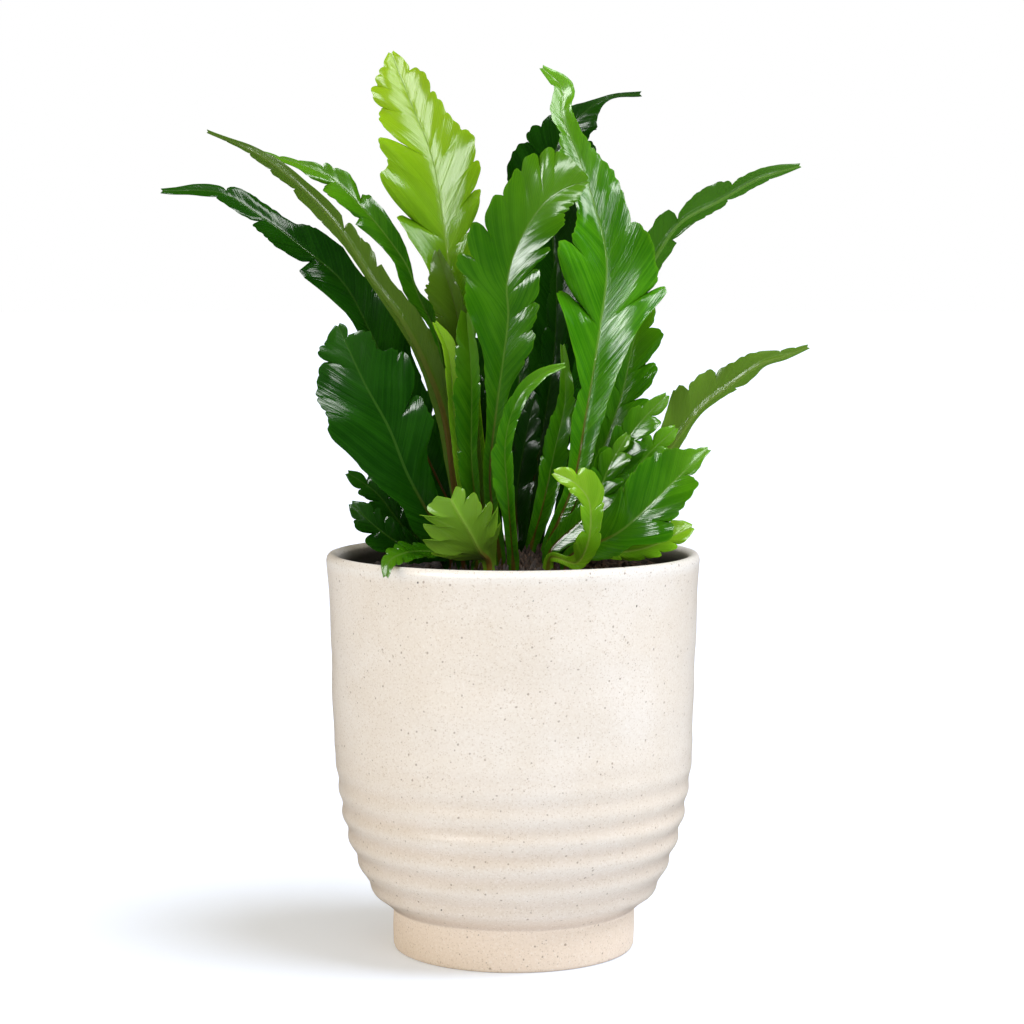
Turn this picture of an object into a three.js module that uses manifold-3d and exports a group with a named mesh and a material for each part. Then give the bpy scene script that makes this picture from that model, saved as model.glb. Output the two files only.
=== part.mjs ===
// A potted bird's nest fern with lobed fronds, in millimetres, +Z up.
// The origin is the centre of the pot's flat underside, and -Y is the front.
import * as THREE from "three";
import { mergeVertices } from "three/addons/utils/BufferGeometryUtils.js";
import Module from "manifold-3d";

// Pot
const potHeight = 156;
const potSides = 40;
const footRadius = 47.5;
const footHeight = 16;
const wallThickness = 5.5;
const floorHeight = 10;
const ringPitch = 10;
const ringDepth = 0.9;
const ringsFadeAt = 90;

// Soil and crown
const soilLevel = 148;
const soilBumps = 1.2;
const crownRadius = 28;
const crownRise = 9;
const crownDepth = 12;
const crownSides = 24;
const clearance = 0.3;

// Fronds
const bladeThickness = 0.9;
const ribAtRoot = 2.4;
const ribAtTip = 1.2;
const narrowest = 0.6;
const stubLength = 7;
const rootRise = 6;
const rootLean = 0.3;
const sweep = 0.85;
const lead = 0.4;
const hook = 0.35;
const ribSteps = 16;

// Colours
const leafColours = { lime: 0x8cc63f, bright: 0x6fbf2a, mid: 0x3f8f1c, dark: 0x1f5f14, olive: 0x5f7a2c };
const stonewareColour = 0xefe6d8;
const soilColour = 0x2b1f14;
const crownColour = 0x4a3320;

const wasm = await Module();
wasm.setup();

// Outer radius and height of the pot's body, from the shoulder over the foot up to the lip
const bodyOutline = [
  [50.5, 18], [54.6, 22], [58.6, 28.6], [63.8, 41.4], [67.2, 54.3], [69.7, 73], [70.6, 92], [71.4, 120],
  [72, 142], [73, 153.5],
];

// Each frond has a root on the crown, a midrib through the points after it, and the way its upper side
// looks from root to tip. Its left and right half widths are evenly spaced from root to tip. A cut is a place
// along the margin and the share of the half width that is notched there. lobes gives a count, first and last
// place and a depth for cuts that are spread by rule. fold is how far each half is raised, in degrees, at the
// root and at the tip. wave is the ruffle's height as a share of the half width, and waves how many there are.
const front = [[0, -1, 0], [0, -1, 0]];
const fronds = [
  { name: "frond_tall_left", tone: "lime", seed: 1, root: [-11, -4],
    rib: [[-15, -11, 200], [-21, -14, 239], [-26, -14, 277], [-31, -11, 308], [-39, -8, 329],
      [-47, -5, 349]],
    face: [[0, -1, 0], [0, -1, 0], [0, -1, 0.1]], fold: [35, 8], wave: 0.16, waves: 4,
    left: [2, 3, 4.5, 6, 6.5, 6, 7, 12.5, 22, 20.5, 15.5, 12.5, 1], right: [2, 3, 3.5, 4.5, 5.5, 7.5, 10,
      12.5, 17, 17.5, 11.5, 9, 1],
    leftCuts: [[0.66, 0.47], [0.75, 0.08], [0.81, 0.54], [0.89, 0.2], [0.93, 0.1], [0.97, 0.1]],
    rightCuts: [[0.62, 0.39], [0.68, 0.3], [0.73, 0.11], [0.79, 0.07], [0.83, 0.05], [0.88, 0.1],
      [0.95, 0.36]] },
  { name: "frond_front_middle", tone: "mid", seed: 2, root: [-5, -17],
    rib: [[-9, -26, 186], [-6, -31, 217], [-2, -34, 248], [-2.5, -35, 260.1], [0.2, -35, 271.3],
      [6.2, -34, 283.6], [12.9, -33, 291.8], [20.1, -31, 296.4], [28, -29, 299.1]],
    face: [[0, -1, 0], [0, -1, 0], [0, -1, 0.1]], fold: [35, 12], wave: 0.16, waves: 4,
    left: [2, 3, 3, 3, 3.5, 6.5, 10.5, 20, 18.5, 18.5, 15, 17, 1], right: [2, 3, 3, 4.5, 5, 5, 11, 12, 14,
      14, 12.5, 8, 1],
    leftCuts: [[0.71, 0.28], [0.76, 0.28], [0.82, 0.16], [0.88, 0.22], [0.92, 0.23], [0.94, 0.11]],
    rightCuts: [[0.49, 0.12], [0.56, 0.25], [0.62, 0.29], [0.68, 0.26], [0.76, 0.34], [0.87, 0.08]] },
  { name: "frond_tall_right", tone: "mid", seed: 3, root: [12, -7],
    rib: [[23, -9, 183], [28, -9, 210], [33, -7, 241], [36, -4, 269], [31, -1, 292], [25, 1, 310],
      [19, 2, 326], [19, 3, 336], [11, 2, 344]],
    face: [[0, -1, 0], [0, -1, 0], [-0.2, -1, 0.1]], fold: [35, 12], wave: 0.16, waves: 4,
    left: [2, 3, 4, 6, 7, 13.5, 24.5, 20, 9.5, 8, 6, 4.5, 1], right: [2, 3, 4.5, 7, 10, 14, 26, 19, 14.5,
      10, 6, 5, 1],
    leftCuts: [[0.34, 0.46], [0.51, 0.63], [0.59, 0.28], [0.7, 0.11], [0.86, 0.55]],
    rightCuts: [[0.52, 0.31], [0.64, 0.22], [0.8, 0.1], [0.88, 0.15]] },
  { name: "frond_behind_right", tone: "dark", seed: 4, root: [8, 10],
    rib: [[14, 17, 203], [17, 21, 254], [15, 22, 294], [18, 22, 317], [28, 21, 328], [38, 20, 334],
      [50, 18, 335]],
    face: [[0, -1, 0], [0, -1, 0], [0, -1, 0.2]], fold: [35, 10], wave: 0.16, waves: 4,
    left: [2, 3, 4.5, 7, 10.5, 14.5, 18, 19, 20.5, 17, 8, 1.5, 1], right: [2, 3.5, 4.5, 6.5, 8.5, 11, 14,
      21, 24, 19, 12, 2, 1],
    leftCuts: [[0.69, 0.17], [0.78, 0.21], [0.81, 0.14]],
    rightCuts: [[0.72, 0.12], [0.79, 0.12]] },
  { name: "frond_upper_right", tone: "mid", seed: 5, root: [16, 9],
    rib: [[36.7, 18, 223.8], [47.1, 22, 253.5], [58.7, 25, 274.9], [66.6, 26, 285.2], [82.1, 26, 293.9],
      [96.6, 25, 302.1], [113.5, 24, 307.2]],
    face: [[-0.6, 0.6, 0.3], [-0.3, 0.9, 0.4], [-0.3, 0.8, 0.5]], fold: [30, 15], wave: 0.14, waves: 5,
    left: [2, 2, 2.5, 2.5, 3, 4, 6, 7, 8, 7, 6, 4, 1], right: [2, 2, 2.5, 2.5, 3, 5, 8, 9.5, 8.5, 8, 7, 4,
      1],
    leftCuts: [[0.7, 0.6], [0.84, 0.6], [0.93, 0.3]],
    rightCuts: [[0.74, 0.72], [0.86, 0.4]] },
  { name: "frond_lobed_right", tone: "mid", seed: 6, root: [14, 2],
    rib: [[30, 7, 184], [42, 9, 215], [47, 9, 237], [53, 7, 257]],
    face: [[0, -1, 0], [0, -1, 0.2]], fold: [35, 15], wave: 0.16, waves: 3, lobes: [5, 0.35, 0.93, 0.45],
    left: [2, 4, 8, 11, 13, 12, 9, 1], right: [2, 4, 8, 11, 12, 13, 10, 1] },
  { name: "frond_lower_right", tone: "olive", seed: 7, root: [23, 3],
    rib: [[42.5, 2, 174.2], [53.9, 3, 187.9], [64.1, 4, 200.4], [73.1, 5, 212.1], [84.7, 4, 221.2],
      [96.2, 2, 229.4], [105.8, 1, 232.6], [114.7, 0, 236.1]],
    face: [[-0.3, 1, 0.3], [-0.3, 1, 0.4]], fold: [25, 12], wave: 0.14, waves: 6,
    left: [2, 3.5, 4, 4, 4, 5, 4, 3, 3.5, 6, 3, 2, 1], right: [2, 3.5, 4.5, 5, 6, 7.5, 9.5, 12.5, 9.5, 8.5,
      5, 3, 1],
    leftCuts: [[0.74, 0.41], [0.84, 0.05]],
    rightCuts: [[0.62, 0.23], [0.71, 0.32], [0.91, 0.29], [0.96, 0.2]] },
  { name: "frond_front_right", tone: "mid", seed: 8, root: [20, -15],
    rib: [[40, -28, 166], [52, -32, 177], [64, -32, 189], [74, -30, 198]],
    face: [[-0.1, -1, 0.3], [-0.1, -1, 0.3]], fold: [25, 12], wave: 0.1, waves: 3,
    left: [2, 3, 4, 7, 11, 13.5, 14, 14.5, 14.5, 12.5, 9, 5, 1], right: [2, 4, 5.5, 8, 9, 9, 15, 14.5,
      11.5, 10, 8, 2.5, 1],
    leftCuts: [[0.51, 0.33], [0.59, 0.08], [0.77, 0.07], [0.94, 0.14]],
    rightCuts: [[0.59, 0.3], [0.85, 0.67]] },
  { name: "frond_young_bright", tone: "bright", seed: 9, root: [13, -20],
    rib: [[24, -32, 155], [28, -38, 163], [29, -40, 172], [28, -41, 180], [23, -42, 186], [15, -42, 190]],
    face: [[0, -1, 0.1], [0, -1, 0.1]], fold: [30, 12], wave: 0.08, waves: 2,
    left: [2, 2, 2.5, 7, 5, 4, 5, 4, 1], right: [2, 2, 2, 4, 5, 5, 7, 7, 1],
    leftCuts: [[0.36, 0.3], [0.55, 0.6], [0.7, 0.3], [0.86, 0.3]],
    rightCuts: [[0.36, 0.2], [0.55, 0.3], [0.7, 0.25], [0.89, 0.6]] },
  { name: "frond_small_pale", tone: "bright", seed: 10, root: [23.5, -4],
    rib: [[45, -14, 157.5], [54, -17, 160], [62, -17, 164], [69, -16, 167]],
    face: [[-0.1, -1, 0.4], [-0.1, -1, 0.4]], fold: [20, 12], wave: 0.1, waves: 3, lobes: [4, 0.4, 0.9,
      0.35],
    left: [2, 2, 3, 4, 6, 8, 7, 1], right: [2, 2, 3, 4, 5, 6, 5, 1] },
  { name: "frond_long_left_low", tone: "dark", seed: 11, root: [-16, 6],
    rib: [[-30, 4, 184], [-43, 0, 213], [-55, -3, 240], [-66, -5, 261], [-81, -7, 274], [-97, -9, 286],
      [-112, -10, 295], [-135, -10, 296]],
    face: [[0.3, -1, 0], [0.3, -1, 0.2], [0.2, -1, 0.5]], fold: [35, 10], wave: 0.16, waves: 5,
    left: [2, 4, 5.5, 8, 10.5, 9, 6, 13, 9, 8, 5, 3, 1], right: [2, 4, 5.5, 8, 11.5, 12.5, 12, 8, 9.5, 6,
      5.5, 3, 1],
    leftCuts: [[0.68, 0.72], [0.75, 0.11], [0.8, 0.72], [0.89, 0.4]],
    rightCuts: [[0.88, 0.54], [0.97, 0.05]] },
  { name: "frond_long_left_twist", tone: "olive", seed: 12, root: [-19, -8.5],
    rib: [[-23, -14, 185], [-27, -18, 212], [-34, -20, 231], [-43, -22, 248], [-54, -23, 263],
      [-67, -24, 283], [-80, -24, 297], [-97, -22, 310], [-116, -20, 318]],
    face: [[0.3, 1, 0.2], [0.3, 1, 0.3], [0.3, 0.7, 0.7]], fold: [30, 10], wave: 0.16, waves: 5,
    left: [2, 4, 6.5, 8.5, 6.5, 7, 6, 7, 4.5, 4, 2.5, 1.5, 1], right: [2, 2, 3, 4.5, 5, 4, 3.5, 3, 4, 7.5,
      7, 3, 1],
    leftCuts: [[0.59, 0.3], [0.65, 0.14], [0.69, 0.72]],
    rightCuts: [[0.8, 0.38], [0.86, 0.39], [0.91, 0.4], [0.96, 0.2]] },
  { name: "frond_long_left_high", tone: "mid", seed: 13, root: [-19, -2],
    rib: [[-22, -2, 188], [-26, -5, 220], [-30, -8, 241], [-36, -10, 254], [-41, -11, 267],
      [-47, -12, 276], [-54, -13, 285], [-69, -14, 300], [-79, -14, 305], [-95, -14, 310]],
    face: [[0.3, -1, 0], [0.4, -1, 0.2], [0.2, -1, 0.5]], fold: [35, 12], wave: 0.16, waves: 6,
    left: [2, 3, 3, 4, 4, 3, 2.5, 7.5, 5.5, 8, 8.5, 3, 1], right: [2, 3, 4, 5.5, 6, 4.5, 5, 0.5, 5, 6, 5.5,
      2, 1],
    leftCuts: [[0.76, 0.46], [0.86, 0.72]],
    rightCuts: [[0.79, 0.62], [0.86, 0.3], [0.88, 0.41], [0.93, 0.22], [0.97, 0.72]] },
  { name: "frond_big_left", tone: "dark", seed: 14, root: [-19, -14],
    rib: [[-31, -25, 171], [-40, -31, 188], [-47, -34, 206], [-56, -36, 223], [-66, -37, 245]],
    face: [[0.1, -1, 0.1], [0.1, -1, 0.2]], fold: [25, 8], wave: 0.1, waves: 3,
    left: [2, 4, 6.5, 10, 9, 13.5, 18, 23.5, 22, 20, 15.5, 10.5, 1], right: [2, 3.5, 5, 7, 8.5, 10.5, 17,
      16.5, 20, 19, 11, 9, 1],
    leftCuts: [[0.69, 0.09], [0.88, 0.28], [0.93, 0.13]],
    rightCuts: [[0.46, 0.13], [0.65, 0.4], [0.75, 0.15], [0.96, 0.72]] },
  { name: "frond_low_left_high", tone: "dark", seed: 15, root: [-25, -3],
    rib: [[-42, -11, 166], [-53, -14, 180], [-64, -15, 188]],
    face: [[0.2, -1, 0.3], [0.2, -1, 0.3]], fold: [25, 12], wave: 0.1, waves: 3, lobes: [4, 0.3, 0.93,
      0.55],
    left: [2, 5, 7, 7, 6, 1], right: [2, 5, 8, 8, 6, 1] },
  { name: "frond_low_left_low", tone: "dark", seed: 16, root: [-24, -8.5],
    rib: [[-42, -20, 160], [-53, -24, 168], [-62, -25, 177]],
    face: [[0.2, -1, 0.3], [0.2, -1, 0.3]], fold: [25, 12], wave: 0.1, waves: 3, lobes: [4, 0.3, 0.93,
      0.55],
    left: [2, 4, 7, 9, 7, 1], right: [2, 4, 7, 8, 7, 1] },
  { name: "frond_fan_front", tone: "olive", seed: 17, root: [-9, -24],
    rib: [[-13, -37, 160.5], [-17, -44, 169], [-21, -48, 176], [-24, -50, 182]],
    face: [[0, 1, 0.1], [0, 1, 0]], fold: [15, 10], wave: 0.1, waves: 3,
    left: [2, 4, 11, 14, 12, 9, 4], right: [2, 4, 12, 17, 16, 13, 4],
    leftCuts: [[0.26, 0.15], [0.38, 0.3], [0.5, 0.45], [0.6, 0.4], [0.72, 0.4], [0.87, 0.5]],
    rightCuts: [[0.26, 0.15], [0.38, 0.25], [0.5, 0.5], [0.62, 0.3], [0.75, 0.55], [0.87, 0.5]] },
  { name: "frond_over_lip", tone: "mid", seed: 18, root: [-14, -19],
    rib: [[-32, -33, 159], [-42, -53, 160], [-46, -61, 158], [-47, -64, 153]],
    face: [[0, -0.5, 1], [0, -1, 0.4]], fold: [15, 8], wave: 0.06, waves: 2, lobes: [4, 0.45, 0.92, 0.4],
    left: [2, 2, 3, 6, 6, 4, 1], right: [2, 2, 3, 6, 6, 4, 1] },
  { name: "frond_curled_young", tone: "mid", seed: 19, root: [0, -23],
    rib: [[-2, -34, 179], [-3, -38, 202], [2, -40, 218], [11, -39, 227], [19, -37, 230]],
    face: front, fold: [45, 30], wave: 0.1, waves: 4, lobes: [5, 0.35, 0.93, 0.15],
    left: [2, 3, 4, 8, 5, 4, 3, 1], right: [2, 3, 3, 4, 4, 4, 3, 1] },
  { name: "frond_folded_middle", tone: "mid", seed: 20, root: [6, -4],
    rib: [[11, -5, 173], [16, -4, 196], [20, -3, 216], [19, -3, 237]],
    face: front, fold: [40, 30], wave: 0.1, waves: 4, lobes: [5, 0.35, 0.93, 0.15],
    left: [2, 4, 5, 7, 6, 4, 2, 1], right: [2, 4, 6, 7, 6, 5, 3, 1] },
  { name: "frond_dark_middle", tone: "dark", seed: 21, root: [2, 4],
    rib: [[10, 9, 195], [16, 9, 235], [17, 7, 269]],
    face: front, fold: [35, 20], wave: 0.16, waves: 4, lobes: [5, 0.3, 0.93, 0.3],
    left: [2, 5, 7, 8, 8, 6, 4, 1], right: [2, 5, 7, 8, 8, 6, 4, 1] },
  { name: "frond_curled_olive", tone: "olive", seed: 22, root: [-8, -9],
    rib: [[-14, -14, 186], [-17, -18, 220], [-22, -21, 251], [-29, -22, 273]],
    face: front, fold: [35, 20], wave: 0.16, waves: 4, lobes: [3, 0.65, 0.93, 0.22],
    left: [2, 3, 3, 3, 4, 9, 10, 1], right: [2, 3, 3, 3, 3, 4, 4, 1] },
  { name: "frond_green_fold", tone: "mid", seed: 27, root: [-12, -15],
    rib: [[-14, -20, 171], [-16, -24, 193], [-16, -27, 224], [-18, -28, 250]],
    face: front, fold: [40, 30], wave: 0.08, waves: 3, lobes: [4, 0.4, 0.93, 0.15],
    left: [2, 4, 6, 8, 9, 7, 2], right: [2, 2, 3, 3, 4, 4, 2] },
  { name: "frond_bright_fold", tone: "bright", seed: 26, root: [-13, -9],
    rib: [[-20, -19, 186], [-23, -22, 213], [-25, -24, 235], [-30, -26, 246]],
    face: [[0.3, -1, 0], [0.3, -1, 0]], fold: [40, 30], wave: 0.1, waves: 3, lobes: [3, 0.6, 0.93, 0.2],
    left: [2, 2, 3, 3, 3, 3, 1], right: [2, 2, 3, 3, 5, 5, 1] },
  { name: "frond_inner_front", tone: "dark", seed: 28, root: [0, -9],
    rib: [[1, -10, 176], [4, -11, 198], [8, -12, 216]],
    face: front, fold: [30, 20], wave: 0.1, waves: 3, lobes: [4, 0.4, 0.93, 0.2],
    left: [2, 5, 7, 8, 7, 5, 1], right: [2, 5, 7, 8, 7, 5, 1] },
  { name: "frond_inner_left", tone: "dark", seed: 29, root: [-8, 6],
    rib: [[-10, 8, 178], [-14, 10, 206], [-18, 11, 232]],
    face: front, fold: [30, 20], wave: 0.1, waves: 3, lobes: [5, 0.35, 0.93, 0.2],
    left: [2, 5, 9, 10, 9, 7, 1], right: [2, 5, 8, 9, 8, 6, 1] },
  { name: "frond_short_glossy", tone: "mid", seed: 23, root: [13, -13],
    rib: [[30, -15, 174], [37, -16, 191], [44, -16, 203]],
    face: front, fold: [25, 12], wave: 0.1, waves: 3, lobes: [4, 0.35, 0.93, 0.5],
    left: [2, 4, 6, 7, 7, 5, 1], right: [2, 4, 7, 9, 8, 6, 1] },
  { name: "frond_short_fingers", tone: "mid", seed: 24, root: [19, -9],
    rib: [[35, -12, 185], [46, -13, 204], [59, -13, 218]],
    face: front, fold: [25, 12], wave: 0.1, waves: 3, lobes: [4, 0.35, 0.93, 0.5],
    left: [2, 4, 6, 8, 8, 6, 1], right: [2, 4, 7, 9, 9, 7, 1] },
  { name: "frond_short_pale", tone: "mid", seed: 25, root: [18.5, -2],
    rib: [[38, -5, 174], [50, -6, 192], [63, -6, 205]],
    face: front, fold: [25, 12], wave: 0.1, waves: 3, lobes: [4, 0.35, 0.93, 0.5],
    left: [2, 4, 6, 8, 8, 6, 1], right: [2, 4, 6, 8, 8, 6, 1] },
  { name: "frond_back_right", tone: "dark", seed: 31, root: [15, 17],
    rib: [[28, 28, 185], [40, 42, 214], [48, 54, 231], [54, 66, 237]],
    face: [[-0.5, -0.8, 0.2], [-0.4, -0.7, 0.6]], fold: [30, 12], wave: 0.16, waves: 4, lobes: [5, 0.3,
      0.93, 0.42],
    left: [2, 4, 9, 13, 15, 13, 9, 1], right: [2, 4, 8, 12, 15, 14, 9, 1] },
  { name: "frond_back_high", tone: "dark", seed: 32, root: [1, 16],
    rib: [[2, 30, 195], [2, 46, 238], [0, 66, 268], [-4, 88, 282]],
    face: [[0, -1, 0.2], [0, -0.7, 0.6]], fold: [30, 12], wave: 0.16, waves: 4, lobes: [5, 0.35, 0.93,
      0.42],
    left: [2, 3, 6, 11, 16, 17, 12, 1], right: [2, 3, 6, 12, 16, 16, 11, 1] },
  { name: "frond_back_middle", tone: "dark", seed: 33, root: [9, 19],
    rib: [[14, 38, 186], [19, 60, 216], [24, 80, 234], [28, 100, 238]],
    face: [[-0.2, -1, 0.3], [-0.2, -0.6, 0.7]], fold: [30, 12], wave: 0.16, waves: 4, lobes: [5, 0.3, 0.93,
      0.42],
    left: [2, 4, 8, 12, 14, 12, 8, 1], right: [2, 4, 8, 12, 14, 12, 8, 1] },
  { name: "frond_back_left", tone: "dark", seed: 34, root: [-6, 19],
    rib: [[-12, 34, 188], [-20, 52, 222], [-28, 72, 242], [-36, 90, 246]],
    face: [[0.2, -1, 0.3], [0.2, -0.6, 0.7]], fold: [30, 12], wave: 0.16, waves: 4, lobes: [5, 0.3, 0.93,
      0.42],
    left: [2, 4, 8, 13, 15, 13, 8, 1], right: [2, 4, 8, 12, 15, 13, 9, 1] },
  { name: "frond_back_far_left", tone: "dark", seed: 35, root: [-14, 15],
    rib: [[-26, 28, 180], [-40, 42, 206], [-52, 54, 218], [-62, 62, 219]],
    face: [[0.5, -0.8, 0.3], [0.4, -0.6, 0.7]], fold: [30, 12], wave: 0.16, waves: 4, lobes: [5, 0.3, 0.93,
      0.42],
    left: [2, 4, 8, 12, 13, 11, 7, 1], right: [2, 4, 8, 12, 13, 12, 8, 1] },
  { name: "frond_back_low_left", tone: "dark", seed: 36, root: [-22, 6],
    rib: [[-38, 14, 172], [-50, 22, 188], [-60, 30, 196]],
    face: [[0.6, -0.5, 0.7], [0.5, -0.4, 0.8]], fold: [25, 12], wave: 0.1, waves: 3, lobes: [4, 0.3, 0.93,
      0.42],
    left: [2, 4, 8, 10, 9, 1], right: [2, 4, 8, 10, 9, 1] },
  { name: "frond_back_low_right", tone: "dark", seed: 37, root: [23, 11],
    rib: [[37, 20, 172], [48, 30, 186], [57, 40, 190]],
    face: [[-0.6, -0.5, 0.7], [-0.5, -0.4, 0.8]], fold: [25, 12], wave: 0.1, waves: 3, lobes: [4, 0.3,
      0.93, 0.42],
    left: [2, 4, 8, 10, 9, 1], right: [2, 4, 8, 10, 9, 1] },
  { name: "frond_back_low_middle", tone: "dark", seed: 38, root: [2, 23],
    rib: [[3, 42, 168], [4, 60, 180], [4, 78, 182]],
    face: [[0, -0.6, 0.8], [0, -0.3, 1]], fold: [25, 12], wave: 0.1, waves: 3, lobes: [4, 0.3, 0.93, 0.42],
    left: [2, 4, 9, 11, 9, 1], right: [2, 4, 9, 11, 9, 1] },
];

// A draw between 0 and 1 that is the same every time for a seed and a number
function chance(seed, number) {
  const value = Math.sin(seed * 12.9898 + number * 78.233) * 43758.5453;
  return value - Math.floor(value);
}

function smooth(from, to, value) {
  const t = Math.min(Math.max((value - from) / (to - from), 0), 1);
  return t * t * (3 - 2 * t);
}

// Height of the crown's dome over the soil
function crownTop(x, y) {
  return soilLevel - 1 + crownRise * (1 - (x * x + y * y) / (crownRadius * crownRadius));
}

// A smooth curve through evenly spaced values
function through(values, s) {
  const last = values.length - 1;
  const x = Math.min(Math.max(s, 0), 1) * last;
  const i = Math.min(Math.floor(x), last - 1);
  const t = x - i;
  const before = i > 0 ? values[i - 1] : 2 * values[0] - values[1];
  const after = i < last - 1 ? values[i + 2] : 2 * values[last] - values[last - 1];
  const [a, b] = [values[i], values[i + 1]];
  return 0.5 * (2 * a + (b - before) * t + (2 * before - 5 * a + 4 * b - after) * t * t +
    (3 * a - before - 3 * b + after) * t * t * t);
}

// The cuts of one margin, given or spread by rule
function cutsOf(frond, side) {
  const given = side > 0 ? frond.leftCuts : frond.rightCuts;
  if (given) {
    return given;
  }
  const [count, from, to, depth] = frond.lobes;
  const seed = frond.seed + (side > 0 ? 0 : 40);
  const cuts = [];
  for (let k = 0; k < count; k += 1) {
    const place = k + 0.25 + 0.5 * chance(seed, k) + (side > 0 ? 0.2 : 0);
    cuts.push([from + (to - from) * place / count, depth * (0.6 + 0.8 * chance(seed, k + 20))]);
  }
  return cuts;
}

// Share of the half width that the cuts leave: each is made of two quarter ellipses that meet in a notch, the
// shorter one on its root side, so that lobes are fullest near their tips
function lobed(cuts, s) {
  let share = 1;
  cuts.forEach(([place, depth], k) => {
    const before = k > 0 ? place - cuts[k - 1][0] : cuts[1][0] - cuts[0][0];
    const after = k < cuts.length - 1 ? cuts[k + 1][0] - place : Math.min(before, 2 * (1 - place));
    const reach = s < place ? hook * before : (1 - hook) * after;
    const t = Math.min(Math.abs(s - place) / reach, 1);
    share *= 1 - depth * (1 - Math.sqrt(1 - (1 - t) * (1 - t)));
  });
  return share;
}

// Midrib curve of a frond, which leaves the crown almost upright
function ribOf(frond) {
  const [x, y] = frond.root;
  const root = new THREE.Vector3(x, y, crownTop(x, y) + 0.5);
  const points = frond.rib.map((p) => new THREE.Vector3(...p));
  const away = points[0].clone().sub(root).setZ(0).normalize();
  const rise = away.multiplyScalar(rootLean).setZ(1).normalize().multiplyScalar(rootRise);
  const curve = new THREE.CatmullRomCurve3([root, root.clone().add(rise), ...points], false, "centripetal");
  curve.arcLengthDivisions = 400;
  return { curve, length: curve.getLength() };
}

// Point on the midrib with its direction, the way the upper side looks and the way to the left margin
function frameAt(frond, rib, s) {
  const inside = Math.min(Math.max(s, 0), 1);
  const along = rib.curve.getTangentAt(inside);
  const point = rib.curve.getPointAt(inside).addScaledVector(along, (s - inside) * rib.length);
  const spans = frond.face.length - 1;
  const i = Math.min(Math.floor(inside * spans), spans - 1);
  const t = smooth(0, 1, inside * spans - i);
  const up = new THREE.Vector3(...frond.face[i]).lerp(new THREE.Vector3(...frond.face[i + 1]), t);
  up.addScaledVector(along, -up.dot(along)).normalize();
  const left = new THREE.Vector3().crossVectors(up, along);
  return { point, along, up, left };
}

// Point on one margin at a place along it. The vein that ends there leaves the midrib nearer to the root, and
// runs out along the raised half and on towards the tip. The half is ruffled.
function marginAt(frond, rib, place, side) {
  const inside = Math.min(Math.max(place, 0), 1);
  const full = Math.max(through(side > 0 ? frond.left : frond.right, inside), narrowest);
  const slant = smooth(0.1, 0.4, inside);
  const s = place - lead * slant * full / rib.length;
  const { point, along, up, left } = frameAt(frond, rib, s);
  const reach = Math.max(full * lobed(cutsOf(frond, side), inside), narrowest);
  const opened = (frond.fold[0] + (frond.fold[1] - frond.fold[0]) * inside) * smooth(0, 0.12, place);
  const fold = THREE.MathUtils.degToRad(opened);
  const turn = frond.waves * inside + chance(frond.seed, 5) + (side > 0 ? 0 : 0.5 * chance(frond.seed, 6));
  const ruffle = frond.wave * full * smooth(0.15, 0.5, inside) * Math.sin(2 * Math.PI * turn);
  const margin = point.clone().addScaledVector(left, side * reach * Math.cos(fold));
  margin.addScaledVector(up, reach * Math.sin(fold) + ruffle).addScaledVector(along, sweep * slant * reach);
  return { point: margin, up, s };
}

// Places along one margin where the blade has a row of points: its stalk, then three to each lobe
function marginRows(cuts, stub) {
  const rows = [-stub, 0];
  const first = cuts[0][0];
  for (let k = 1; k < 5; k += 1) {
    rows.push(first * k / 5);
  }
  cuts.forEach(([place], k) => {
    const next = k < cuts.length - 1 ? cuts[k + 1][0] : 1;
    [0, 0.3, 0.7].forEach((u) => rows.push(place + (next - place) * u));
  });
  rows.push(1);
  return rows;
}

// Facets between the midrib and a margin, whose points both run from root to tip, in the order in which the
// points lie along the midrib
function halfFacets(ridge, margin) {
  const facets = [];
  let [i, j] = [0, 0];
  while (i < ridge.length - 1 || j < margin.length - 1) {
    const ridgeNext = i < ridge.length - 1 ? ridge[i].s + ridge[i + 1].s : Infinity;
    const marginNext = j < margin.length - 1 ? margin[j].s + margin[j + 1].s : Infinity;
    if (ridgeNext < marginNext) {
      facets.push([ridge[i], ridge[i + 1], margin[j]]);
      i += 1;
    } else {
      facets.push([ridge[i], margin[j + 1], margin[j]]);
      j += 1;
    }
  }
  return facets;
}

// A closed thin body round a midrib and two margins, alike on its upper and lower side
function thinBody(ridge, left, right) {
  const places = [...ridge, ...left, ...right];
  places.forEach((place, k) => Object.assign(place, { over: k, under: places.length + k }));
  const index = [];
  const skin = ([a, b, c]) => index.push(a.over, b.over, c.over, c.under, b.under, a.under);
  const wall = (a, b) => index.push(a.over, b.over, b.under, a.over, b.under, a.under);
  halfFacets(ridge, left).forEach(skin);
  halfFacets(ridge, right).forEach((facet) => skin(facet.reverse()));
  left.slice(1).forEach((place, k) => wall(left[k], place));
  right.slice(1).forEach((place, k) => wall(place, right[k]));
  wall(right[0], ridge[0]);
  wall(ridge[0], left[0]);
  wall(left.at(-1), ridge.at(-1));
  wall(ridge.at(-1), right.at(-1));
  const points = [...places.map((place) => place.upper), ...places.map((place) => place.lower)];
  const geometry = new THREE.BufferGeometry();
  geometry.setAttribute("position", new THREE.Float32BufferAttribute(points.flatMap((p) => p.toArray()), 3));
  geometry.setIndex(index);
  return geometry;
}

// The upper and lower point of the blade where its upper side looks along up
function pairAt({ point, up, s }, above, below) {
  const upper = point.clone().addScaledVector(up, above);
  const lower = point.clone().addScaledVector(up, -below);
  return { upper, lower, s };
}

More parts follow.
